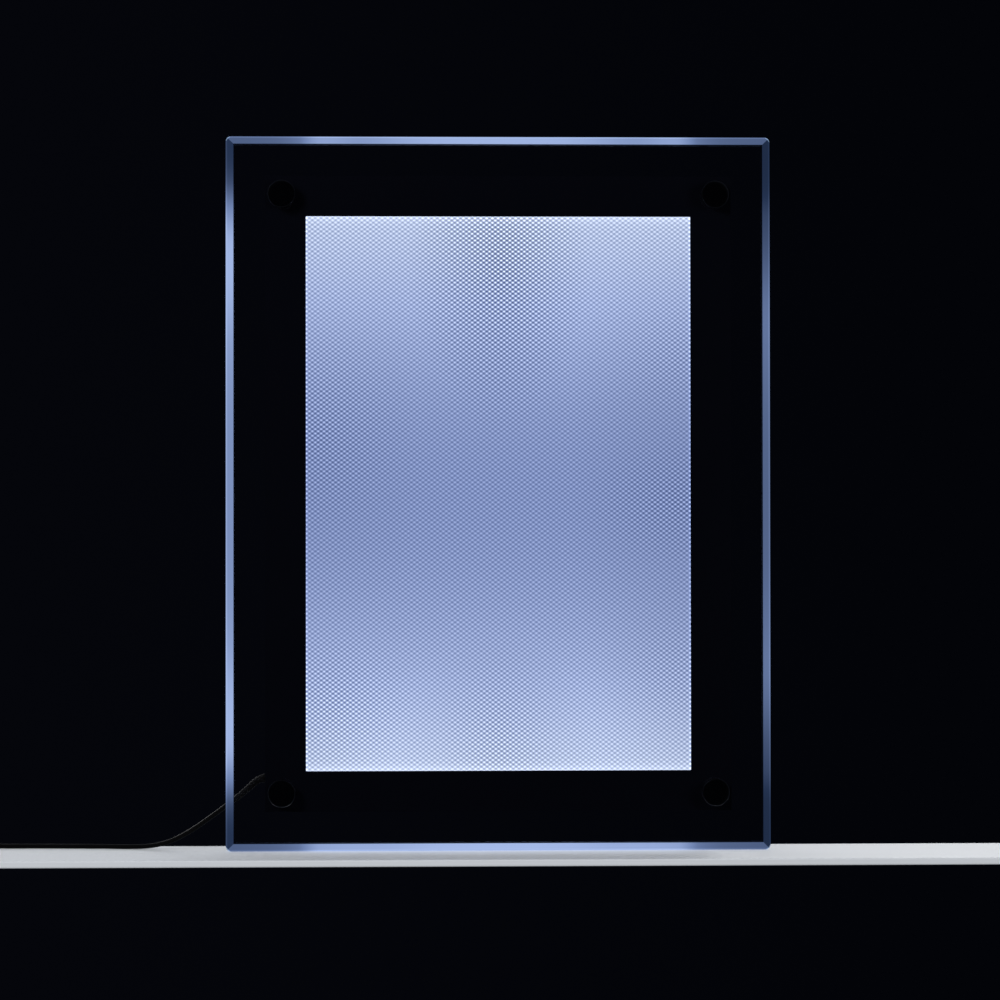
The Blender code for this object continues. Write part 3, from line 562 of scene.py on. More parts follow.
# The window's lit edges: a thin pale glow at its top and bottom, a thin line down its sides
height = add(tree, "Math", {"operation": "ABSOLUTE"}, {0: axes.outputs["Z"]})
edge_depth = add(tree, "Math", {"operation": "SUBTRACT"}, {0: height, 1: window_half_h})
edge_share = add(tree, "Math", {"operation": "DIVIDE"}, {0: edge_depth, 1: EDGE_GLOW_DEPTH})
edge_fade = add(tree, "Math", {"operation": "EXPONENT"}, {0: edge_share})
edge_fade.use_clamp = True
edge_glow = add(tree, "VectorMath", {"operation": "SCALE"}, {0: linear(EDGE_GLOW)[:3], "Scale": edge_fade})
width = add(tree, "Math", {"operation": "ABSOLUTE"}, {0: axes.outputs["X"]})
side_line = add(tree, "MapRange", {"interpolation_type": "SMOOTHSTEP"},
                {"Value": width, "From Min": window_half_w - SIDE_LINE_WIDTH, "From Max": window_half_w,
                 "To Min": 1.0, "To Max": 1.0 + SIDE_LINE_GAIN})
lined_glow = add(tree, "VectorMath", {"operation": "SCALE"}, {0: dotted_glow, "Scale": side_line})
whole_glow = add(tree, "VectorMath", {"operation": "ADD"}, {0: lined_glow, 1: edge_glow})
tree.links.new(whole_glow.outputs[0], shader.inputs["Emission Color"])
shader.inputs["Emission Strength"].default_value = 1.0
shader.inputs["Specular IOR Level"].default_value = 0.1
dress("light_guide", lit_acrylic)
print("lit panel nodes:", len(tree.nodes))

# %% [markdown]
# The plate in front is cast acrylic, polished clear. Its rim is cut at 45
# degrees all round and left fine and satin, so the light that runs inside the
# plate comes out there. That makes two finishes on one piece: clear where the
# plate is flat, glowing where it is cut. The glow is strongest beside the window
# and falls off towards the corners, and the right side is dimmer than the left.
# Lamp light passes both by way of the shadow rays, as it does in a real sheet.

# %% Clear plate: sizes and colours
BEVEL = 6 * MM
RIM_LINE = 0.7 * MM
RIM_LINE_GAIN = 1.4
# From no glow to the full glow: share of it, colour
RIM_COLOURS = ((0.0, "#000000"), (0.12, "#212F4B"), (0.46, "#6E82AE"), (1.0, "#A4B9E6"))
TIP_RADIUS = 4 * MM
TIP_LINE = 0.9 * MM
TIP_GLOW = "#6C8298"
# Along a side from its middle to the corner: share of the half length, share of the full glow
LEFT_GLOW_SHARES = ((0, 0.56), (0.22, 0.56), (0.42, 0.67), (0.55, 0.90), (0.70, 1.0),
                    (0.78, 0.55), (0.87, 0.11), (1.0, 0.12))
RIGHT_GLOW_SHARES = ((0, 0.28), (0.22, 0.29), (0.42, 0.37), (0.53, 0.38), (0.66, 0.22),
                     (0.78, 0.17), (0.86, 0.085), (1.0, 0.09))
BOTTOM_GLOW_SHARES = ((0, 1.0), (0.25, 0.98), (0.42, 0.82), (0.66, 0.84), (0.73, 0.30),
                      (0.90, 0.27), (1.0, 0.25))
TOP_GLOW_SHARES = ((0, 0.92), (0.25, 0.90), (0.42, 0.68), (0.54, 0.60), (0.66, 0.84),
                   (0.73, 0.29), (0.90, 0.27), (1.0, 0.26))

plate_low, plate_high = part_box("front_plate")
plate_half_w = (plate_high.x - plate_low.x) / 2
plate_half_h = (plate_high.z - plate_low.z) / 2
print("plate, mm:", round(2 * plate_half_w / MM, 1), "by", round(2 * plate_half_h / MM, 1))

# %% Clear plate: its faces
def pass_lamps(tree, shader):
    """Lets the light of lamps through a clear solid."""
    light_path = add(tree, "LightPath")
    see_through = add(tree, "BsdfTransparent")
    lamp_pass = add(tree, "MixShader", None,
                    {0: light_path.outputs["Is Shadow Ray"], 1: shader, 2: see_through})
    tree.links.new(lamp_pass.outputs[0], tree.nodes["Material Output"].inputs["Surface"])


clear_acrylic, tree, shader = start_finish("polished_cast_acrylic", "#FFFFFF", 0.0)
shader.inputs["Transmission Weight"].default_value = 1.0
shader.inputs["IOR"].default_value = 1.49
pass_lamps(tree, shader)
dress("front_plate", clear_acrylic)

# %% Clear plate: its cut rim
cut_acrylic, tree, shader = start_finish("satin_cut_acrylic", "#0E131B", 0.2)
place = add(tree, "TexCoord")
axes = add(tree, "SeparateXYZ", None, {0: place.outputs["Object"]})
width = add(tree, "Math", {"operation": "ABSOLUTE"}, {0: axes.outputs["X"]})
height = add(tree, "Math", {"operation": "ABSOLUTE"}, {0: axes.outputs["Z"]})
past_side = add(tree, "Math", {"operation": "SUBTRACT"}, {0: width, 1: plate_half_w})
past_end = add(tree, "Math", {"operation": "SUBTRACT"}, {0: height, 1: plate_half_h})
nearest = add(tree, "Math", {"operation": "MAXIMUM"}, {0: past_side, 1: past_end})
is_side = add(tree, "Math", {"operation": "GREATER_THAN"}, {0: past_side, 1: past_end})
is_right = add(tree, "Math", {"operation": "GREATER_THAN"}, {0: axes.outputs["X"], 1: 0.0})
is_top = add(tree, "Math", {"operation": "GREATER_THAN"}, {0: axes.outputs["Z"], 1: 0.0})
glow_shares = []
for reach, half, near_shares, far_shares, is_far in (
    (height, plate_half_h, LEFT_GLOW_SHARES, RIGHT_GLOW_SHARES, is_right),
    (width, plate_half_w, BOTTOM_GLOW_SHARES, TOP_GLOW_SHARES, is_top),
):
    along = add(tree, "Math", {"operation": "DIVIDE"}, {0: reach, 1: half})
    ramps = []
    for shares in (near_shares, far_shares):
        ramp = add(tree, "ValToRGB", None, {0: along})
        ramp.color_ramp.interpolation = "B_SPLINE"
        set_ramp(ramp, [(position, (level, level, level, 1)) for position, level in shares])
        ramps.append(ramp.outputs[0])
    glow_shares.append(add(tree, "Mix", None, {0: is_far, 2: ramps[0], 3: ramps[1]}).outputs[0])
rim_share = add(tree, "Mix", None, {0: is_side, 2: glow_shares[1], 3: glow_shares[0]})
# The outermost line of the bevel catches a little more, and the ground tips of the corners more again
rim_line = add(tree, "MapRange", None,
               {"Value": nearest, "From Min": -2 * RIM_LINE, "From Max": -RIM_LINE,
                "To Min": 1.0, "To Max": RIM_LINE_GAIN})
to_tip = add(tree, "Math", {"operation": "ADD"}, {0: past_side, 1: past_end})
tip_middle = 2 * TIP_RADIUS * (math.cos(math.pi / 4) - 1)
is_tip = add(tree, "Math", {"operation": "GREATER_THAN"}, {0: to_tip, 1: tip_middle - TIP_LINE * math.sqrt(2)})
tip_glow = add(tree, "VectorMath", {"operation": "SCALE"}, {0: linear(TIP_GLOW)[:3], "Scale": is_tip})
rim_level = add(tree, "Math", {"operation": "MULTIPLY"}, {0: rim_share, 1: rim_line})
rim_colour = add(tree, "ValToRGB", None, {0: rim_level})
set_ramp(rim_colour, [(share, linear(code)) for share, code in RIM_COLOURS])
whole_glow = add(tree, "VectorMath", {"operation": "ADD"}, {0: rim_colour, 1: tip_glow})
tree.links.new(whole_glow.outputs[0], shader.inputs["Emission Color"])
shader.inputs["Emission Strength"].default_value = 1.0
shader.inputs["Specular IOR Level"].default_value = 0.0
pass_lamps(tree, shader)
print("cut rim nodes:", len(tree.nodes))

# %% [markdown]
# The border is a black film bonded to the plate's back. The adhesive fills every
# gap, so no gloss of its own is left: seen through the polished acrylic it is as
# deep as lacquer, and almost no light comes back.

# %% Black border
black_film, tree, shader = start_finish("bonded_black_vinyl", "#06070D", 0.7)
add_grain(tree, shader, 0.4 * MM, 0.004 * MM, (0.65, 0.8))
shader.inputs["Specular IOR Level"].default_value = 0.0
dress("border_mask", black_film)

# %% [markdown]
# Behind the light guide lies a white polyester film, which sends back what leaves
# the guide at its rear. It is matt and as even as paper.

# %% White reflector film
white_film, tree, shader = start_finish("white_polyester_film", "#F1F2F2", 0.55)
add_grain(tree, shader, 0.3 * MM, 0.006 * MM, (0.5, 0.62))
dress("reflector_sheet", white_film)
print("films done")

# %% [markdown]
# The tray's rails are extruded aluminium, anodised black. The dye sits in a thin
# oxide skin over the metal, so the finish is dark but still metallic, and the
# die's lines run along the bar. A rail along x and a rail along z need the noise
# stretched along their own axis.

# %% Black anodised rails
DIE_LINE = 0.35 * MM
LINE_STRETCH = 0.01
for name, stretch in (("across", (LINE_STRETCH, 1, 1)), ("upright", (1, 1, LINE_STRETCH))):
    anodised, tree, shader = start_finish(f"black_anodised_aluminium_{name}", "#26272B", 0.4, 0.85)
    noise = add_grain(tree, shader, DIE_LINE, 0.01 * MM, (0.34, 0.48), stretch, 2.0)
    tint = add(tree, "Mix", {"data_type": "RGBA"}, {0: noise, 6: linear("#202125"), 7: linear("#2E2F34")})
    tree.links.new(tint.outputs[2], shader.inputs["Base Color"])
    for side in (("top", "bottom") if name == "across" else ("left", "right")):
        dress(f"rail_{side}", anodised)
print("rails done")

# %% [markdown]
# The back cover is a flat sheet of aluminium, brushed upwards and sealed. Long
# thin streaks give it a sheen that changes along the stroke but not across it.
# The holders of the LED boards are the same metal as it left the mill: duller,
# with broad faint marks of the rolls.

# %% Plain aluminium
BRUSH_WIDTH = 0.25 * MM
BRUSH_STRETCH = 0.006
brushed, tree, shader = start_finish("brushed_aluminium", "#C9CBCE", 0.38, 1.0)
noise = add_grain(tree, shader, BRUSH_WIDTH, 0.006 * MM, (0.3, 0.46), (1, 1, BRUSH_STRETCH), 2.0)
tint = add(tree, "Mix", {"data_type": "RGBA"}, {0: noise, 6: linear("#BFC1C4"), 7: linear("#D3D5D8")})
tree.links.new(tint.outputs[2], shader.inputs["Base Color"])
dress("back_cover", brushed)
mill, tree, shader = start_finish("mill_finish_aluminium", "#B9BBBD", 0.42, 1.0)
add_grain(tree, shader, 1.2 * MM, 0.01 * MM, (0.36, 0.5), (0.05, 1, 1))
for side in ("top", "bottom"):
    dress(f"led_holder_{side}", mill)
print("cover and holders done")

# %% [markdown]
# An LED board is a strip of aluminium under white solder resist, which throws
# stray light back into the guide. Each package has a pale ceramic frame round a
# square of yellow phosphor, which glows bluish white. The packages are part of
# the board's solid, so the material finds them by their pitch and height.

# %% LED boards
LED_PITCH = 16.7 * MM
LED_LENGTH = 3.5 * MM
LED_WIDTH = 2.8 * MM
LED_FRAME = 0.45 * MM
LED_COUNT = 17

white_board, tree, shader = start_finish("white_solder_resist", "#E9EAE6", 0.35)
noise = add_grain(tree, shader, 0.5 * MM, 0.01 * MM, (0.28, 0.42))
board_low, board_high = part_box("led_board_top")
led_depth = (board_low.y + board_high.y) / 2
place = add(tree, "TexCoord")
axes = add(tree, "SeparateXYZ", None, {0: place.outputs["Object"]})
height = add(tree, "Math", {"operation": "ABSOLUTE"}, {0: axes.outputs["Z"]})
is_package = add(tree, "Math", {"operation": "LESS_THAN"},
                 {0: height, 1: board_low.z + 0.5 * (LED_LENGTH - LED_WIDTH)})
count_shift = LED_PITCH / 2 if LED_COUNT % 2 else 0.0
shifted = add(tree, "Math", {"operation": "ADD"}, {0: axes.outputs["X"], 1: count_shift})
cell = add(tree, "Math", {"operation": "FLOORED_MODULO"}, {0: shifted, 1: LED_PITCH})
off_middle = add(tree, "Math", {"operation": "SUBTRACT"}, {0: cell, 1: LED_PITCH / 2})
off_x = add(tree, "Math", {"operation": "ABSOLUTE"}, {0: off_middle})
off_depth = add(tree, "Math", {"operation": "SUBTRACT"}, {0: axes.outputs["Y"], 1: led_depth})
off_y = add(tree, "Math", {"operation": "ABSOLUTE"}, {0: off_depth})
inside_x = add(tree, "Math", {"operation": "LESS_THAN"}, {0: off_x, 1: LED_LENGTH / 2 - LED_FRAME})
inside_y = add(tree, "Math", {"operation": "LESS_THAN"}, {0: off_y, 1: LED_WIDTH / 2 - LED_FRAME})
inside = add(tree, "Math", {"operation": "MULTIPLY"}, {0: inside_x, 1: inside_y})
is_phosphor = add(tree, "Math", {"operation": "MULTIPLY"}, {0: inside, 1: is_package})
colour = add(tree, "Mix", {"data_type": "RGBA"},
             {0: is_phosphor, 6: linear("#E9EAE6"), 7: linear("#E8D25A")})
tree.links.new(colour.outputs[2], shader.inputs["Base Color"])
glow = add(tree, "Mix", {"data_type": "RGBA"}, {0: is_phosphor, 6: (0, 0, 0, 1), 7: linear("#DCE8FF")})
tree.links.new(glow.outputs[2], shader.inputs["Emission Color"])
shader.inputs["Emission Strength"].default_value = 1.0
for side in ("top", "bottom"):
    dress(f"led_board_{side}", white_board)
print("LED boards done, emitting depth", round(led_depth, 4))

# %% [markdown]
# The corner blocks are injection-moulded nylon, black all through. The mould was
# spark-eroded, which leaves a fine matt grain of a few tenths of a millimetre.

# %% Black nylon
nylon, tree, shader = start_finish("moulded_black_nylon", "#1B1B1C", 0.5)
add_grain(tree, shader, 0.35 * MM, 0.02 * MM, (0.45, 0.62))
for corner in CORNERS:
    dress(f"corner_block_{corner}", nylon)

# %% [markdown]
# Wires and cable are PVC, pushed out of a die and drawn off, so their grain runs
# lengthwise and is so fine that only the gloss changes a little. The boot and the
# plug are PVC too, but moulded, with the matt grain of their mould.

# %% PVC
pvc_finishes = {}
for name, code in (("black", "#080809"), ("red", "#A81E1B")):
    pvc, tree, shader = start_finish(f"extruded_{name}_pvc", code, 0.5)
    add_grain(tree, shader, 0.8 * MM, 0.008 * MM, (0.44, 0.58))
    shader.inputs["IOR"].default_value = 1.53
    shader.inputs["Specular IOR Level"].default_value = 0.12
    pvc_finishes[name] = pvc
for wire in ("link", "feed"):
    for name, finish in pvc_finishes.items():
        dress(f"{wire}_wire_{name}", finish)
moulded_pvc, tree, shader = start_finish("moulded_black_pvc", "#0A0A0B", 0.6)
add_grain(tree, shader, 0.3 * MM, 0.02 * MM, (0.54, 0.68))
shader.inputs["IOR"].default_value = 1.53
shader.inputs["Specular IOR Level"].default_value = 0.15
cord_curve.materials.append(pvc_finishes["black"])
print("plastics done")

# %% [markdown]
# The small metal parts are three kinds of plating. Caps and barrels are black
# nickel over polished brass: a mirror, but a dark one, with the rings that the
# lathe left round its axis too fine to see one by one. Studs and screws are
# bright zinc on steel, slightly cloudy. The plug's sleeve is bright nickel.

# %% Platings
black_nickel, tree, shader = start_finish("black_nickel_plating", "#6C6E74", 0.08, 1.0)
add_grain(tree, shader, 0.9 * MM, 0.002 * MM, (0.05, 0.11))
zinc, tree, shader = start_finish("bright_zinc_plating", "#B4B7BA", 0.3, 1.0)
noise = add_grain(tree, shader, 0.7 * MM, 0.006 * MM, (0.22, 0.4))
tint = add(tree, "Mix", {"data_type": "RGBA"}, {0: noise, 6: linear("#A3A7AC"), 7: linear("#C6C8C9")})
tree.links.new(tint.outputs[2], shader.inputs["Base Color"])
nickel, tree, shader = start_finish("bright_nickel_plating", "#C9C4BC", 0.16, 1.0)
add_grain(tree, shader, 0.5 * MM, 0.003 * MM, (0.12, 0.24))
print("platings done")

# %% [markdown]
# Soft washers keep metal off the acrylic and off the cover: clear nylon under the
# caps, which light passes, and black rubber at the back, matt and a little dusty.
# The tie is a woven nylon strap with hooks on one side and loops on the other.

# %% Washers and strap
clear_nylon, tree, shader = start_finish("clear_nylon", "#E4E6E8", 0.32)
add_grain(tree, shader, 0.6 * MM, 0.006 * MM, (0.26, 0.4))
shader.inputs["Transmission Weight"].default_value = 0.75
shader.inputs["IOR"].default_value = 1.53
rubber, tree, shader = start_finish("black_rubber", "#1D1D1E", 0.8)
noise = add_grain(tree, shader, 0.5 * MM, 0.02 * MM, (0.72, 0.9))
tint = add(tree, "Mix", {"data_type": "RGBA"}, {0: noise, 6: linear("#19191A"), 7: linear("#2A2A2B")})
tree.links.new(tint.outputs[2], shader.inputs["Base Color"])

WEAVE = 0.45 * MM
strap_finish, tree, shader = start_finish("woven_nylon_strap", "#1E1E20", 0.85)
place = add(tree, "TexCoord")
weave_heights = []
for direction in ("X", "Y"):
    thread = add(tree, "TexWave", {"bands_direction": direction},
                 {"Vector": place.outputs["Object"], "Scale": 1 / (20 * WEAVE) * 2 * math.pi, "Distortion": 0.6})
    weave_heights.append(thread)
weave = add(tree, "Math", {"operation": "MULTIPLY"},
            {0: weave_heights[0].outputs["Fac"], 1: weave_heights[1].outputs["Fac"]})
bump = add(tree, "Bump", None, {"Height": weave, "Distance": 0.12 * MM, "Strength": 0.8})
tree.links.new(bump.outputs[0], shader.inputs["Normal"])
# The weave is darker where it lies low: painted shade between the threads.
tint = add(tree, "Mix", {"data_type": "RGBA"}, {0: weave, 6: linear("#141416"), 7: linear("#313134")})
tree.links.new(tint.outputs[2], shader.inputs["Base Color"])
shader.inputs["Sheen Weight"].default_value = 0.3
print("soft finishes done")

# %% [markdown]
# Most of the small pieces are turned. A lathe's work is a profile swept round an
# axis, and what makes it look real are its edges: none is quite sharp. So a
# profile's corner has three values, its radius, its height and how far it is
# eased, and a short curve takes the place of the sharp point.

# %% Turned pieces
TURN_STEPS = 64
EASE_STEPS = 4
SMOOTH_ANGLE = math.radians(32)


def eased(profile, closed):
    """A profile's points with each corner rounded as far as its third value says."""
    count = len(profile)
    points = []
    for k, (radius, height, ease) in enumerate(profile):
        corner = Vector((radius, height))
        if ease == 0 or (not closed and k in (0, count - 1)):
            points.append(corner)
            continue
        before = Vector(profile[k - 1][:2]) - corner
        after = Vector(profile[(k + 1) % count][:2]) - corner
        first = corner + before.normalized() * min(ease, before.length / 2)
        last = corner + after.normalized() * min(ease, after.length / 2)
        for step in range(EASE_STEPS + 1):
            t = step / EASE_STEPS
            points.append(first * (1 - t) ** 2 + corner * 2 * t * (1 - t) + last * t**2)
    return points


def add_turned(shape, profile, closed=False, steps=TURN_STEPS):
    """Sweeps a profile of (radius, height, ease) corners once round z."""
    points = eased(profile, closed)
    rings = []
    for k in range(steps):
        angle = 2 * math.pi * k / steps
        rings.append([shape.verts.new((r * math.cos(angle), r * math.sin(angle), h)) for r, h in points])
    pairs = list(zip(range(len(points) - 1), range(1, len(points))))
    if closed:
        pairs.append((len(points) - 1, 0))
    for here, there in zip(rings, rings[1:] + rings[:1]):
        for low, high in pairs:
            shape.faces.new((here[low], there[low], there[high], here[high]))


def finish_mesh(name, shape, finish):
    """Closes a mesh, smooths it between its edges and links an object of it."""
    bmesh.ops.remove_doubles(shape, verts=shape.verts, dist=MERGE)
    bmesh.ops.dissolve_degenerate(shape, edges=shape.edges, dist=MERGE)
    bmesh.ops.recalc_face_normals(shape, faces=shape.faces)
    mesh = bpy.data.meshes.new(name)
    shape.to_mesh(mesh)
    shape.free()
    mesh.shade_smooth()
    mesh.set_sharp_from_angle(angle=SMOOTH_ANGLE)
    mesh.materials.append(finish)
    made = bpy.data.objects.new(name, mesh)
    bpy.context.scene.collection.objects.link(made)
    return made


def hang(made, node):
    """Puts a piece that is made round z where its solid is, with z out of the wall."""
    low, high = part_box(node)
    seat = ((low.x + high.x) / 2, high.y, (low.z + high.z) / 2)
    made.matrix_world = Matrix.Translation(seat) @ Matrix.Rotation(math.pi / 2, 4, "X")


def stand_for(made, nodes):
    """Makes the finer piece take the place of its solids and ride where they ride."""
    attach(made, frame["nodes"][nodes[0]]["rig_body"])
    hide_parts(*nodes)


print("turned pieces have", TURN_STEPS, "steps round")

# %% [markdown]
# A sheet with sharp edges would cut a hand, so its maker runs a scraper along
# every edge. The plate's solid has its true corners already, and a small bevel
# eases its edges. The faces stay flat shaded: smooth shading would bend what a
# truly flat plate mirrors.

# %% Plate with eased edges
PLATE_EASE = 0.3 * MM
COPLANAR_ANGLE = math.radians(1)
BACK_SLOPE = math.cos(math.radians(25))

shape = bmesh.new()
shape.from_mesh(frame["nodes"]["front_plate"].data)
bmesh.ops.remove_doubles(shape, verts=shape.verts, dist=MERGE)
bmesh.ops.dissolve_limit(shape, angle_limit=COPLANAR_ANGLE, verts=shape.verts[:], edges=shape.edges[:])
hard = [edge for edge in shape.edges if edge.calc_face_angle(0) > SMOOTH_ANGLE]
bmesh.ops.bevel(shape, geom=hard, offset=PLATE_EASE, segments=2, affect="EDGES", profile=0.5, clamp_overlap=True)
plate = finish_mesh("acrylic_plate", shape, clear_acrylic)
plate.data.shade_flat()
plate.data.materials.append(cut_acrylic)
for face in plate.data.polygons:
    past_edge = max(abs(face.center.x) - plate_half_w, abs(face.center.z) - plate_half_h)
    face.material_index = int(past_edge > -BEVEL and face.normal.y < BACK_SLOPE)
stand_for(plate, ["front_plate"])
print("plate faces:", len(plate.data.polygons))

# %% [markdown]
# The caps are the only fixings that show. Each is a thick disc with a flat face
# and a low chamfer. The small curve between the chamfer and the side is what
# catches the light of the window.

# %% Caps
CAP_CHAMFER_WIDTH = 2.6 * MM
CAP_CHAMFER_DEPTH = 1.4 * MM
CAP_BORE_DEPTH = 4.2 * MM
BORE_RADIUS = 4.3 * MM
for corner in CORNERS:
    node = f"stud_cap_{corner}"
    low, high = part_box(node)
    radius, thickness = (high.x - low.x) / 2, high.y - low.y
    shape = bmesh.new()
    add_turned(shape, [
        (0, thickness, 0),
        (radius - CAP_CHAMFER_WIDTH, thickness, 0.2 * MM),
        (radius, thickness - CAP_CHAMFER_DEPTH, 0.35 * MM),
        (radius, 0, 0.3 * MM),
        (BORE_RADIUS + 0.4 * MM, 0, 0.05 * MM),
        (BORE_RADIUS, 0.4 * MM, 0.05 * MM),
        (BORE_RADIUS, CAP_BORE_DEPTH, 0.1 * MM),
        (0, CAP_BORE_DEPTH, 0),
    ])
    cap = finish_mesh(f"cap_{corner}", shape, black_nickel)
    hang(cap, node)
    stand_for(cap, [node])
print("cap radius", round(radius / MM, 2), "thickness", round(thickness / MM, 2), "mm")

# %% Washers
for kind, finish, slot in (("cap_washer", clear_nylon, "clear_nylon"), ("rear_washer", rubber, "black_rubber")):
    for corner in CORNERS:
        node = f"{kind}_{corner}"
        low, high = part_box(node)
        radius, thickness = (high.x - low.x) / 2, high.y - low.y
        shape = bmesh.new()
        add_turned(shape, [
            (radius, thickness, 0.25 * MM),
            (radius, 0, 0.25 * MM),
            (BORE_RADIUS, 0, 0.15 * MM),
            (BORE_RADIUS, thickness, 0.15 * MM),
        ], closed=True)
        washer = finish_mesh(f"{kind}_piece_{corner}", shape, finish)
        hang(washer, node)
        stand_for(washer, [node])
    print(kind, "radius", round(radius / MM, 2), "mm")

# %% [markdown]
# The barrels carry the frame off the wall. Each is turned from bar, chamfered at
# both ends, with a floor that a wall screw holds and a bore for the stud.

# %% Barrels
BARREL_FLOOR = 3 * MM
BARREL_CHAMFER = 0.6 * MM
WALL_HOLE_RADIUS = 2.25 * MM
for corner in CORNERS:
    node = f"standoff_barrel_{corner}"
    low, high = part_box(node)
    radius, length = (high.x - low.x) / 2, high.y - low.y
    shape = bmesh.new()
    add_turned(shape, [
        (radius - BARREL_CHAMFER, length, 0.15 * MM),
        (radius, length - BARREL_CHAMFER, 0.15 * MM),
        (radius, BARREL_CHAMFER, 0.15 * MM),
        (radius - BARREL_CHAMFER, 0, 0.15 * MM),
        (WALL_HOLE_RADIUS, 0, 0.2 * MM),
        (WALL_HOLE_RADIUS, BARREL_FLOOR, 0.1 * MM),
        (BORE_RADIUS, BARREL_FLOOR, 0.1 * MM),
        (BORE_RADIUS, length, 0.3 * MM),
    ], closed=True)
    barrel = finish_mesh(f"barrel_{corner}", shape, black_nickel)
    hang(barrel, node)
    stand_for(barrel, [node])
print("barrel length", round(length / MM, 2), "mm")

# %% [markdown]
# A screw thread isn't a stack of rings but one ridge that climbs as it goes
# round. So the mesh is a strip too: four points of the thread's outline, moved
# one small step round and up each time, and joined to the strip one turn higher.
# At both ends the strip is held to the rod's length and its chamfer, and merging
# what falls together leaves a clean end.

# %% Threads
THREAD_STEPS = 28
# Share of the pitch, share of the thread's depth
THREAD_SHARES = ((0.0, 0.0), (0.125, 0.0), (0.4375, 1.0), (0.6875, 1.0))


def add_thread(shape, radius, low, high, pitch, depth, chamfer):
    """A threaded rod round z from low to high."""
    count = (math.ceil((high - low) / pitch) + 2) * THREAD_STEPS
    strip = []
    for k in range(count + 1):
        angle = 2 * math.pi * k / THREAD_STEPS
        corners = []
        for pitch_share, depth_share in THREAD_SHARES:
            rise = low + pitch * (k / THREAD_STEPS + pitch_share - 1)
            height = min(max(rise, low), high)
            taper = radius - chamfer + min(height - low, high - height)
            reach = min(radius - depth * depth_share, taper)
            corners.append(shape.verts.new((reach * math.cos(angle), reach * math.sin(angle), height)))
        strip.append(corners)
    for k in range(count):
        for here, there in ((0, 1), (1, 2), (2, 3)):
            shape.faces.new((strip[k][here], strip[k + 1][here], strip[k + 1][there], strip[k][there]))
        above = k + THREAD_STEPS
        if above < count:
            shape.faces.new((strip[k][3], strip[k + 1][3], strip[above + 1][0], strip[above][0]))
    bmesh.ops.remove_doubles(shape, verts=shape.verts, dist=MERGE)
    bmesh.ops.holes_fill(shape, edges=[edge for edge in shape.edges if edge.is_boundary])


print("a thread has", THREAD_STEPS, "steps in a turn")

# %% Studs
STUD_PITCH = 1.25 * MM
STUD_DEPTH = 0.77 * MM
STUD_CHAMFER = 0.8 * MM
for corner in CORNERS:
    node = f"stud_{corner}"
    low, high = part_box(node)
    radius, length = (high.x - low.x) / 2, high.y - low.y
    shape = bmesh.new()
    add_thread(shape, radius, 0, length, STUD_PITCH, STUD_DEPTH, STUD_CHAMFER)
    stud = finish_mesh(f"threaded_stud_{corner}", shape, zinc)
    hang(stud, node)
    stand_for(stud, [node])
print("stud length", round(length / MM, 2), "mm, faces", len(stud.data.polygons))

# %% [markdown]
# The cover is held by four pan-head screws with a cross recess. The recess is cut
# with a boolean: two crossed wedges, narrower at the bottom, as the punch that
# makes it is.

# %% Cover screws
SCREW_RADIUS = 1.5 * MM
SCREW_HEAD = 1.7 * MM
SCREW_PITCH = 1.1 * MM
SCREW_DEPTH = 0.4 * MM
SCREW_CHAMFER = 0.6 * MM
RECESS_LENGTH = 3.0 * MM
RECESS_WIDTH = 0.75 * MM
RECESS_DEPTH = 1.1 * MM
RECESS_TAPER = 0.55

shape = bmesh.new()
for quarter in (0, 1):
    wedge = bmesh.ops.create_cube(shape, size=1)["verts"]
    for vertex in wedge:
        taper = RECESS_TAPER if vertex.co.z > 0 else 1
        x = vertex.co.x * RECESS_LENGTH * taper
        y = vertex.co.y * RECESS_WIDTH * taper
        vertex.co = (x, y, vertex.co.z * 2 * RECESS_DEPTH) if quarter == 0 else (y, x, vertex.co.z * 2 * RECESS_DEPTH)
punch = finish_mesh("recess_punch", shape, zinc)
punch.hide_render = True
punch.hide_viewport = True
for corner in CORNERS:
    node = f"cover_screw_{corner}"
    low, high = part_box(node)
    head_radius, length = (high.x - low.x) / 2, high.y - low.y
    shape = bmesh.new()
    add_turned(shape, [
        (0, SCREW_HEAD, 0),
        (head_radius, SCREW_HEAD, 0.1 * MM),
        (head_radius, 0.75 * MM, 0.5 * MM),
        (head_radius - 0.9 * MM, 0.05 * MM, 0.8 * MM),
        (0, 0, 0),
    ], steps=48)
    head = finish_mesh(f"screw_head_{corner}", shape, zinc)
    print(node, "head radius", round(head_radius / MM, 2), "length", round(length / MM, 2))
    cut = head.modifiers.new("Recess", "BOOLEAN")
    cut.operation = "DIFFERENCE"
    cut.solver = "EXACT"
    cut.use_self = True
    cut.object = punch
    bpy.context.view_layer.update()
    cut_mesh = bpy.data.meshes.new_from_object(head.evaluated_get(bpy.context.evaluated_depsgraph_get()))
    shape = bmesh.new()
    add_thread(shape, SCREW_RADIUS, SCREW_HEAD - 0.2 * MM, length, SCREW_PITCH, SCREW_DEPTH, SCREW_CHAMFER)
    shape.from_mesh(cut_mesh)
    bpy.data.objects.remove(head)
    screw = finish_mesh(f"screw_{corner}", shape, zinc)
    hang(screw, node)
    stand_for(screw, [node])
bpy.data.objects.remove(punch)

# %% [markdown]
# The boot and the tie are sections swept along a line that lies in an upright
# plane. In such a plane the section needs no twisting: one of its axes stays
# level and the other is square to the line.


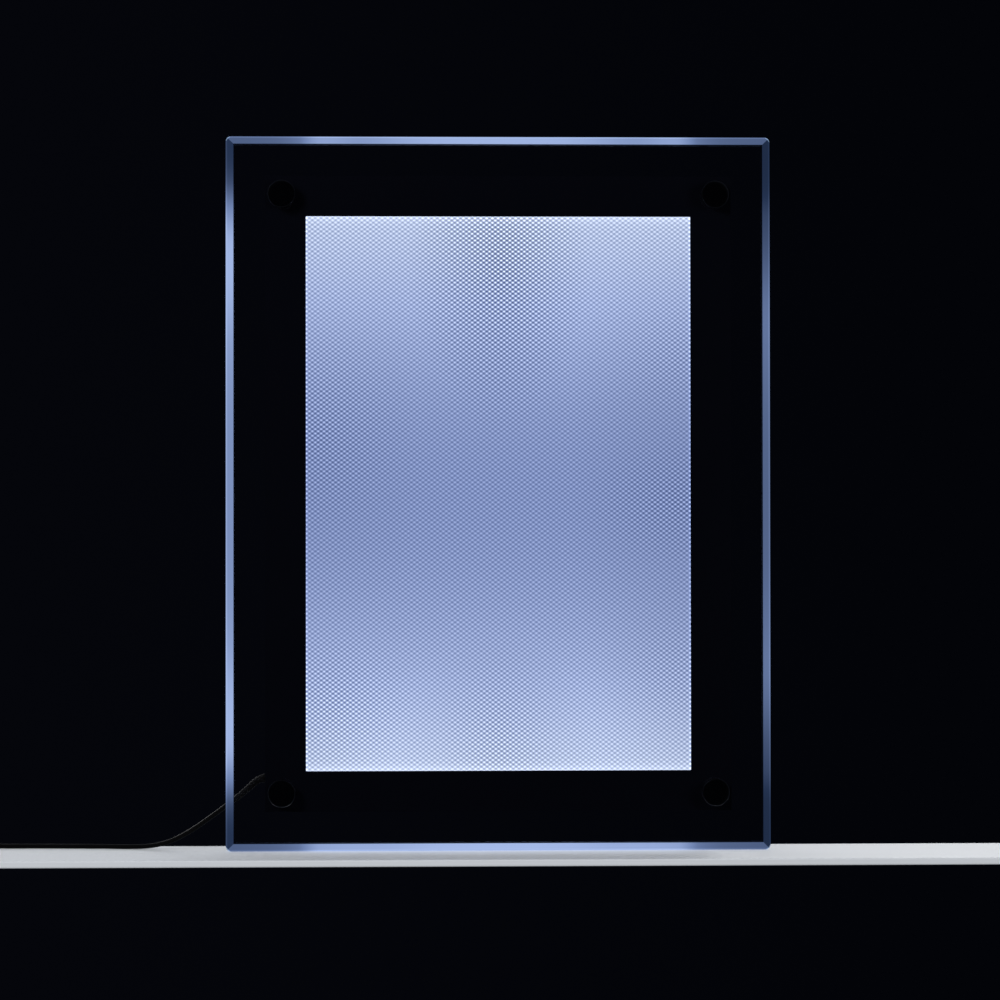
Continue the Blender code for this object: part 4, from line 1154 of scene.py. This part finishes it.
# %% Swept pieces
def add_swept(shape, path, section, sizes=None, closed=False):
    """Sweeps a flat section of (outward, level) points along an upright path."""
    count = len(path)
    rings = []
    for k, point in enumerate(path):
        before = path[k - 1] if closed or k > 0 else point
        after = path[(k + 1) % count] if closed or k < count - 1 else point
        ahead = (after - before).normalized()
        outward = Vector((-ahead.z, 0, ahead.x))
        size = sizes[k] if sizes else 1
        rings.append([
            shape.verts.new(point + outward * (a * size) + Vector((0, b * size, 0))) for a, b in section
        ])
    sides = len(section)
    following = rings[1:] + (rings[:1] if closed else [])
    for here, there in zip(rings, following):
        for k in range(sides):
            after = (k + 1) % sides
            shape.faces.new((here[k], here[after], there[after], there[k]))
    if not closed:
        shape.faces.new(rings[0])
        shape.faces.new(rings[-1])


def circle_section(steps):
    """A round section of radius one."""
    return [(math.cos(2 * math.pi * k / steps), math.sin(2 * math.pi * k / steps)) for k in range(steps)]


print("a boot's section has", len(circle_section(32)), "points")

# %% [markdown]
# The boot snaps into the rail with a groove and ends in a ribbed sleeve. The
# ribs let it bend evenly: rib, groove, rib, groove, each a little slimmer than
# the last. Its line is the smooth curve through the points above, and the radii
# along it make the ribs.

# %% Boot
BOOT_FLANGE_RADIUS = 2.4 * MM
BOOT_NECK_RADIUS = 1.9 * MM
BOOT_COLLAR_RADIUS = 3.4 * MM
BOOT_ROOT_RADIUS = 2.9 * MM
BOOT_TIP_RADIUS = 2.2 * MM
BOOT_GROOVE_RADIUS = 1.98 * MM
RAIL_WEB = 1.5 * MM
BOOT_CLEARANCE = 0.3 * MM
BOOT_COLLAR_LENGTH = 1.5 * MM
BOOT_EDGE = 0.25 * MM
RIB_PITCH = 2.6 * MM
RIB_SHARE = 0.58
RIB_START = 2.6 * MM
RIB_COUNT = 8

inner_end = RAIL_WEB + 2 * BOOT_CLEARANCE + 1.2 * MM
collar_end = BOOT_CLEARANCE + BOOT_COLLAR_LENGTH
stations = [
    (inner_end, BOOT_FLANGE_RADIUS - BOOT_EDGE),
    (inner_end - BOOT_EDGE, BOOT_FLANGE_RADIUS),
    (RAIL_WEB + BOOT_CLEARANCE, BOOT_FLANGE_RADIUS),
    (RAIL_WEB + BOOT_CLEARANCE - 0.02 * MM, BOOT_NECK_RADIUS),
    (-BOOT_CLEARANCE + 0.02 * MM, BOOT_NECK_RADIUS),
    (-BOOT_CLEARANCE, BOOT_COLLAR_RADIUS),
    (-collar_end + BOOT_EDGE, BOOT_COLLAR_RADIUS),
    (-collar_end, BOOT_COLLAR_RADIUS - BOOT_EDGE),
]
path = [boot_entry + Vector((x, 0, 0)) for x, _ in stations]
radii = [r for _, r in stations]
sleeve_line = smooth_route([tuple(p) for p in boot_path], 0.12 * MM)
travelled = 0.0
sleeve_length = sum((b - a).length for a, b in zip(sleeve_line, sleeve_line[1:]))
for before, point in zip(sleeve_line, sleeve_line[1:]):
    travelled += (point - before).length
    share = travelled / sleeve_length
    envelope = BOOT_ROOT_RADIUS + share * (BOOT_TIP_RADIUS - BOOT_ROOT_RADIUS)
    phase = ((travelled - RIB_START) / RIB_PITCH) % 1
    in_groove = RIB_START < travelled < RIB_START + RIB_COUNT * RIB_PITCH and phase < 1 - RIB_SHARE
    path.append(point)
    radii.append(max(BOOT_GROOVE_RADIUS, envelope * 0.8) if in_groove else envelope)
radii[-1] -= BOOT_EDGE
shape = bmesh.new()
add_swept(shape, path, circle_section(32), radii)
boot = finish_mesh("cable_boot", shape, moulded_pvc)
stand_for(boot, ["strain_relief"])
print("boot sleeve length, mm:", round(sleeve_length / MM, 1))

# %% [markdown]
# The plug is a round low-voltage one, moulded onto the cable. Fine flutes give
# the fingers a grip, and three rings at its tail let the cable flex. The metal
# sleeve in front is one contact, and the black core inside keeps the other apart.

# %% Plug
FLUTES = 26
FLUTE_DEPTH = 0.22 * MM
PLUG_TAIL_RADIUS = 2.4 * MM
PLUG_TAIL_LENGTH = 9 * MM
PLUG_NOSE_RADIUS = 4.2 * MM
PLUG_NOSE_LENGTH = 2.5 * MM
PLUG_BORE_RADIUS = CORD_DIAMETER / 2 + 0.08 * MM
TAIL_RINGS = 3
TAIL_RING_PITCH = 1.7 * MM

plug_low, plug_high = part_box("dc_plug_body")
plug_length = plug_high.x - plug_low.x
grip_radius = (plug_high.z - plug_low.z) / 2
plug_seat = Matrix.Translation((
    plug_low.x, (plug_low.y + plug_high.y) / 2, (plug_low.z + plug_high.z) / 2
)) @ Matrix.Rotation(math.pi / 2, 4, "Y")
profile = [(0, PLUG_ENTRY + 0.5 * MM, 0), (PLUG_BORE_RADIUS, PLUG_ENTRY + 0.5 * MM, 0),
           (PLUG_BORE_RADIUS, 0, 0.1 * MM), (PLUG_TAIL_RADIUS, 0, 0.3 * MM)]
slope = (grip_radius - PLUG_TAIL_RADIUS) / PLUG_TAIL_LENGTH
for k in range(TAIL_RINGS):
    start = 1.4 * MM + k * TAIL_RING_PITCH
    for step, sink in ((0, 0), (0.1 * MM, 0.45 * MM), (0.6 * MM, 0.45 * MM), (0.7 * MM, 0)):
        height = start + step
        profile.append((PLUG_TAIL_RADIUS + slope * height - sink, height, 0.05 * MM))
grip_start, grip_end = PLUG_TAIL_LENGTH, plug_length - PLUG_NOSE_LENGTH
profile += [(grip_radius, grip_start, 0.8 * MM), (grip_radius, grip_end, 0.5 * MM),
            (PLUG_NOSE_RADIUS, grip_end, 0.2 * MM), (PLUG_NOSE_RADIUS, plug_length, 0.4 * MM),
            (0, plug_length, 0)]
shape = bmesh.new()
add_turned(shape, profile, steps=4 * FLUTES)
flute_start, flute_end = grip_start + 1.6 * MM, grip_end - 1.2 * MM
fluted = [v for v in shape.verts if abs(v.co.xy.length - grip_radius) < MERGE]
rows = sorted({round(v.co.z, 6) for v in fluted})
print("grip rows at, mm:", [round(r / MM, 2) for r in rows])
shape.verts.ensure_lookup_table()
cuts = [flute_start, flute_start + 0.5 * MM, flute_end - 0.5 * MM, flute_end]
for height in cuts:
    bmesh.ops.bisect_plane(
        shape, geom=shape.verts[:] + shape.edges[:] + shape.faces[:],
        plane_co=(0, 0, height), plane_no=(0, 0, 1),
    )
for vertex in shape.verts:
    if cuts[1] - MERGE < vertex.co.z < cuts[2] + MERGE and vertex.co.xy.length > PLUG_NOSE_RADIUS:
        angle = math.atan2(vertex.co.y, vertex.co.x) % (2 * math.pi)
        sink = FLUTE_DEPTH * (0.5 - 0.5 * math.cos(angle * FLUTES))
        share = 1 - sink / grip_radius
        vertex.co.x *= share
        vertex.co.y *= share
plug_body = finish_mesh("plug_body", shape, moulded_pvc)
plug_body.matrix_world = plug_seat
stand_for(plug_body, ["dc_plug_body"])

# %% Plug sleeve and core
SLEEVE_WALL = 0.4 * MM
CORE_BORE_RADIUS = 1.05 * MM
sleeve_low, sleeve_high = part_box("dc_plug_sleeve")
sleeve_radius = (sleeve_high.z - sleeve_low.z) / 2
sleeve_start, sleeve_end = plug_length, sleeve_high.x - plug_low.x
shape = bmesh.new()
add_turned(shape, [
    (sleeve_radius, sleeve_end, 0.3 * MM),
    (sleeve_radius, sleeve_start, 0),
    (sleeve_radius - SLEEVE_WALL, sleeve_start, 0),
    (sleeve_radius - SLEEVE_WALL, sleeve_end, 0.12 * MM),
], closed=True, steps=48)
plug_sleeve = finish_mesh("plug_sleeve", shape, nickel)
plug_sleeve.matrix_world = plug_seat
stand_for(plug_sleeve, ["dc_plug_sleeve"])
core_low, core_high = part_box("dc_plug_core")
core_radius = (core_high.z - core_low.z) / 2
core_end = core_high.x - plug_low.x
shape = bmesh.new()
add_turned(shape, [
    (core_radius, core_end, 0.15 * MM),
    (core_radius, sleeve_start, 0),
    (CORE_BORE_RADIUS, sleeve_start, 0),
    (CORE_BORE_RADIUS, core_end, 0.25 * MM),
], closed=True, steps=48)
plug_core = finish_mesh("plug_core", shape, nylon)
plug_core.matrix_world = plug_seat
stand_for(plug_core, ["dc_plug_core"])
print("sleeve length", round((sleeve_end - sleeve_start) / MM, 2), "mm")

# %% [markdown]
# The tie is a strap of hook-and-loop tape, wrapped once round the coil's turns
# with its end laid over itself on top. It is one ribbon: its line goes round a
# rounded oblong, rises by one thickness and runs on over the first lap.

# %% Tie
TIE_WIDTH = 4 * MM
TIE_CORNER = 2 * MM
TIE_CORNER_STEPS = 6
TIE_END_GAP = 3 * MM
tie_low, tie_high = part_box("cord_tie")
tie_middle = (tie_low + tie_high) / 2
half_x = (tie_high.x - tie_low.x) / 2 - TIE_THICKNESS / 2
half_z = (tie_high.z - tie_low.z) / 2 - TIE_THICKNESS / 2


def oblong_corner(sx, sz, quarter, extra):
    """Points round one corner of the strap's line, a little further out by extra."""
    centre = tie_middle + Vector((sx * (half_x - TIE_CORNER), 0, sz * (half_z - TIE_CORNER)))
    reach = TIE_CORNER + extra
    points = []
    for k in range(TIE_CORNER_STEPS + 1):
        angle = math.pi / 2 * (quarter + k / TIE_CORNER_STEPS)
        points.append(centre + Vector((reach * math.cos(angle), 0, reach * math.sin(angle))))
    return points


lap = TIE_THICKNESS + 0.05 * MM
top = tie_middle.z + half_z
strap_line = [Vector((tie_low.x + TIE_CORNER + 2 * MM, tie_middle.y, top))]
strap_line += oblong_corner(-1, 1, 1, 0)
strap_line += oblong_corner(-1, -1, 2, 0)
strap_line += oblong_corner(1, -1, 3, 0)
strap_line += oblong_corner(1, 1, 0, 0)
strap_line += [Vector((tie_high.x - TIE_CORNER - 3 * MM, tie_middle.y, top + 0.1 * lap)),
               Vector((tie_low.x + TIE_CORNER + 6 * MM, tie_middle.y, top + 0.55 * lap)),
               Vector((tie_low.x + TIE_CORNER + 3 * MM, tie_middle.y, top + lap)),
               Vector((tie_low.x + TIE_CORNER + 1 * MM, tie_middle.y, top + lap))]
half_thick, half_wide, soft = TIE_THICKNESS / 2, TIE_WIDTH / 2, 0.15 * MM
strap_section = [
    (-half_thick, -half_wide + soft), (-half_thick, half_wide - soft),
    (-half_thick + soft, half_wide), (half_thick - soft, half_wide),
    (half_thick, half_wide - soft), (half_thick, -half_wide + soft),
    (half_thick - soft, -half_wide), (-half_thick + soft, -half_wide),
]
shape = bmesh.new()
add_swept(shape, strap_line, strap_section)
strap = finish_mesh("strap_tie", shape, strap_finish)
stand_for(strap, ["cord_tie"])
print("strap points:", len(strap_line))

# %% Cable takes its place
stand_for(cable, ["power_cord", "cord_coil", "cord_tail"])

# %% [markdown]
# A picture of plain objects should keep their plain colours, so the view keeps the standard transform.

# %% View and bounds
bpy.context.scene.view_settings.view_transform = "Standard"
low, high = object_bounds()
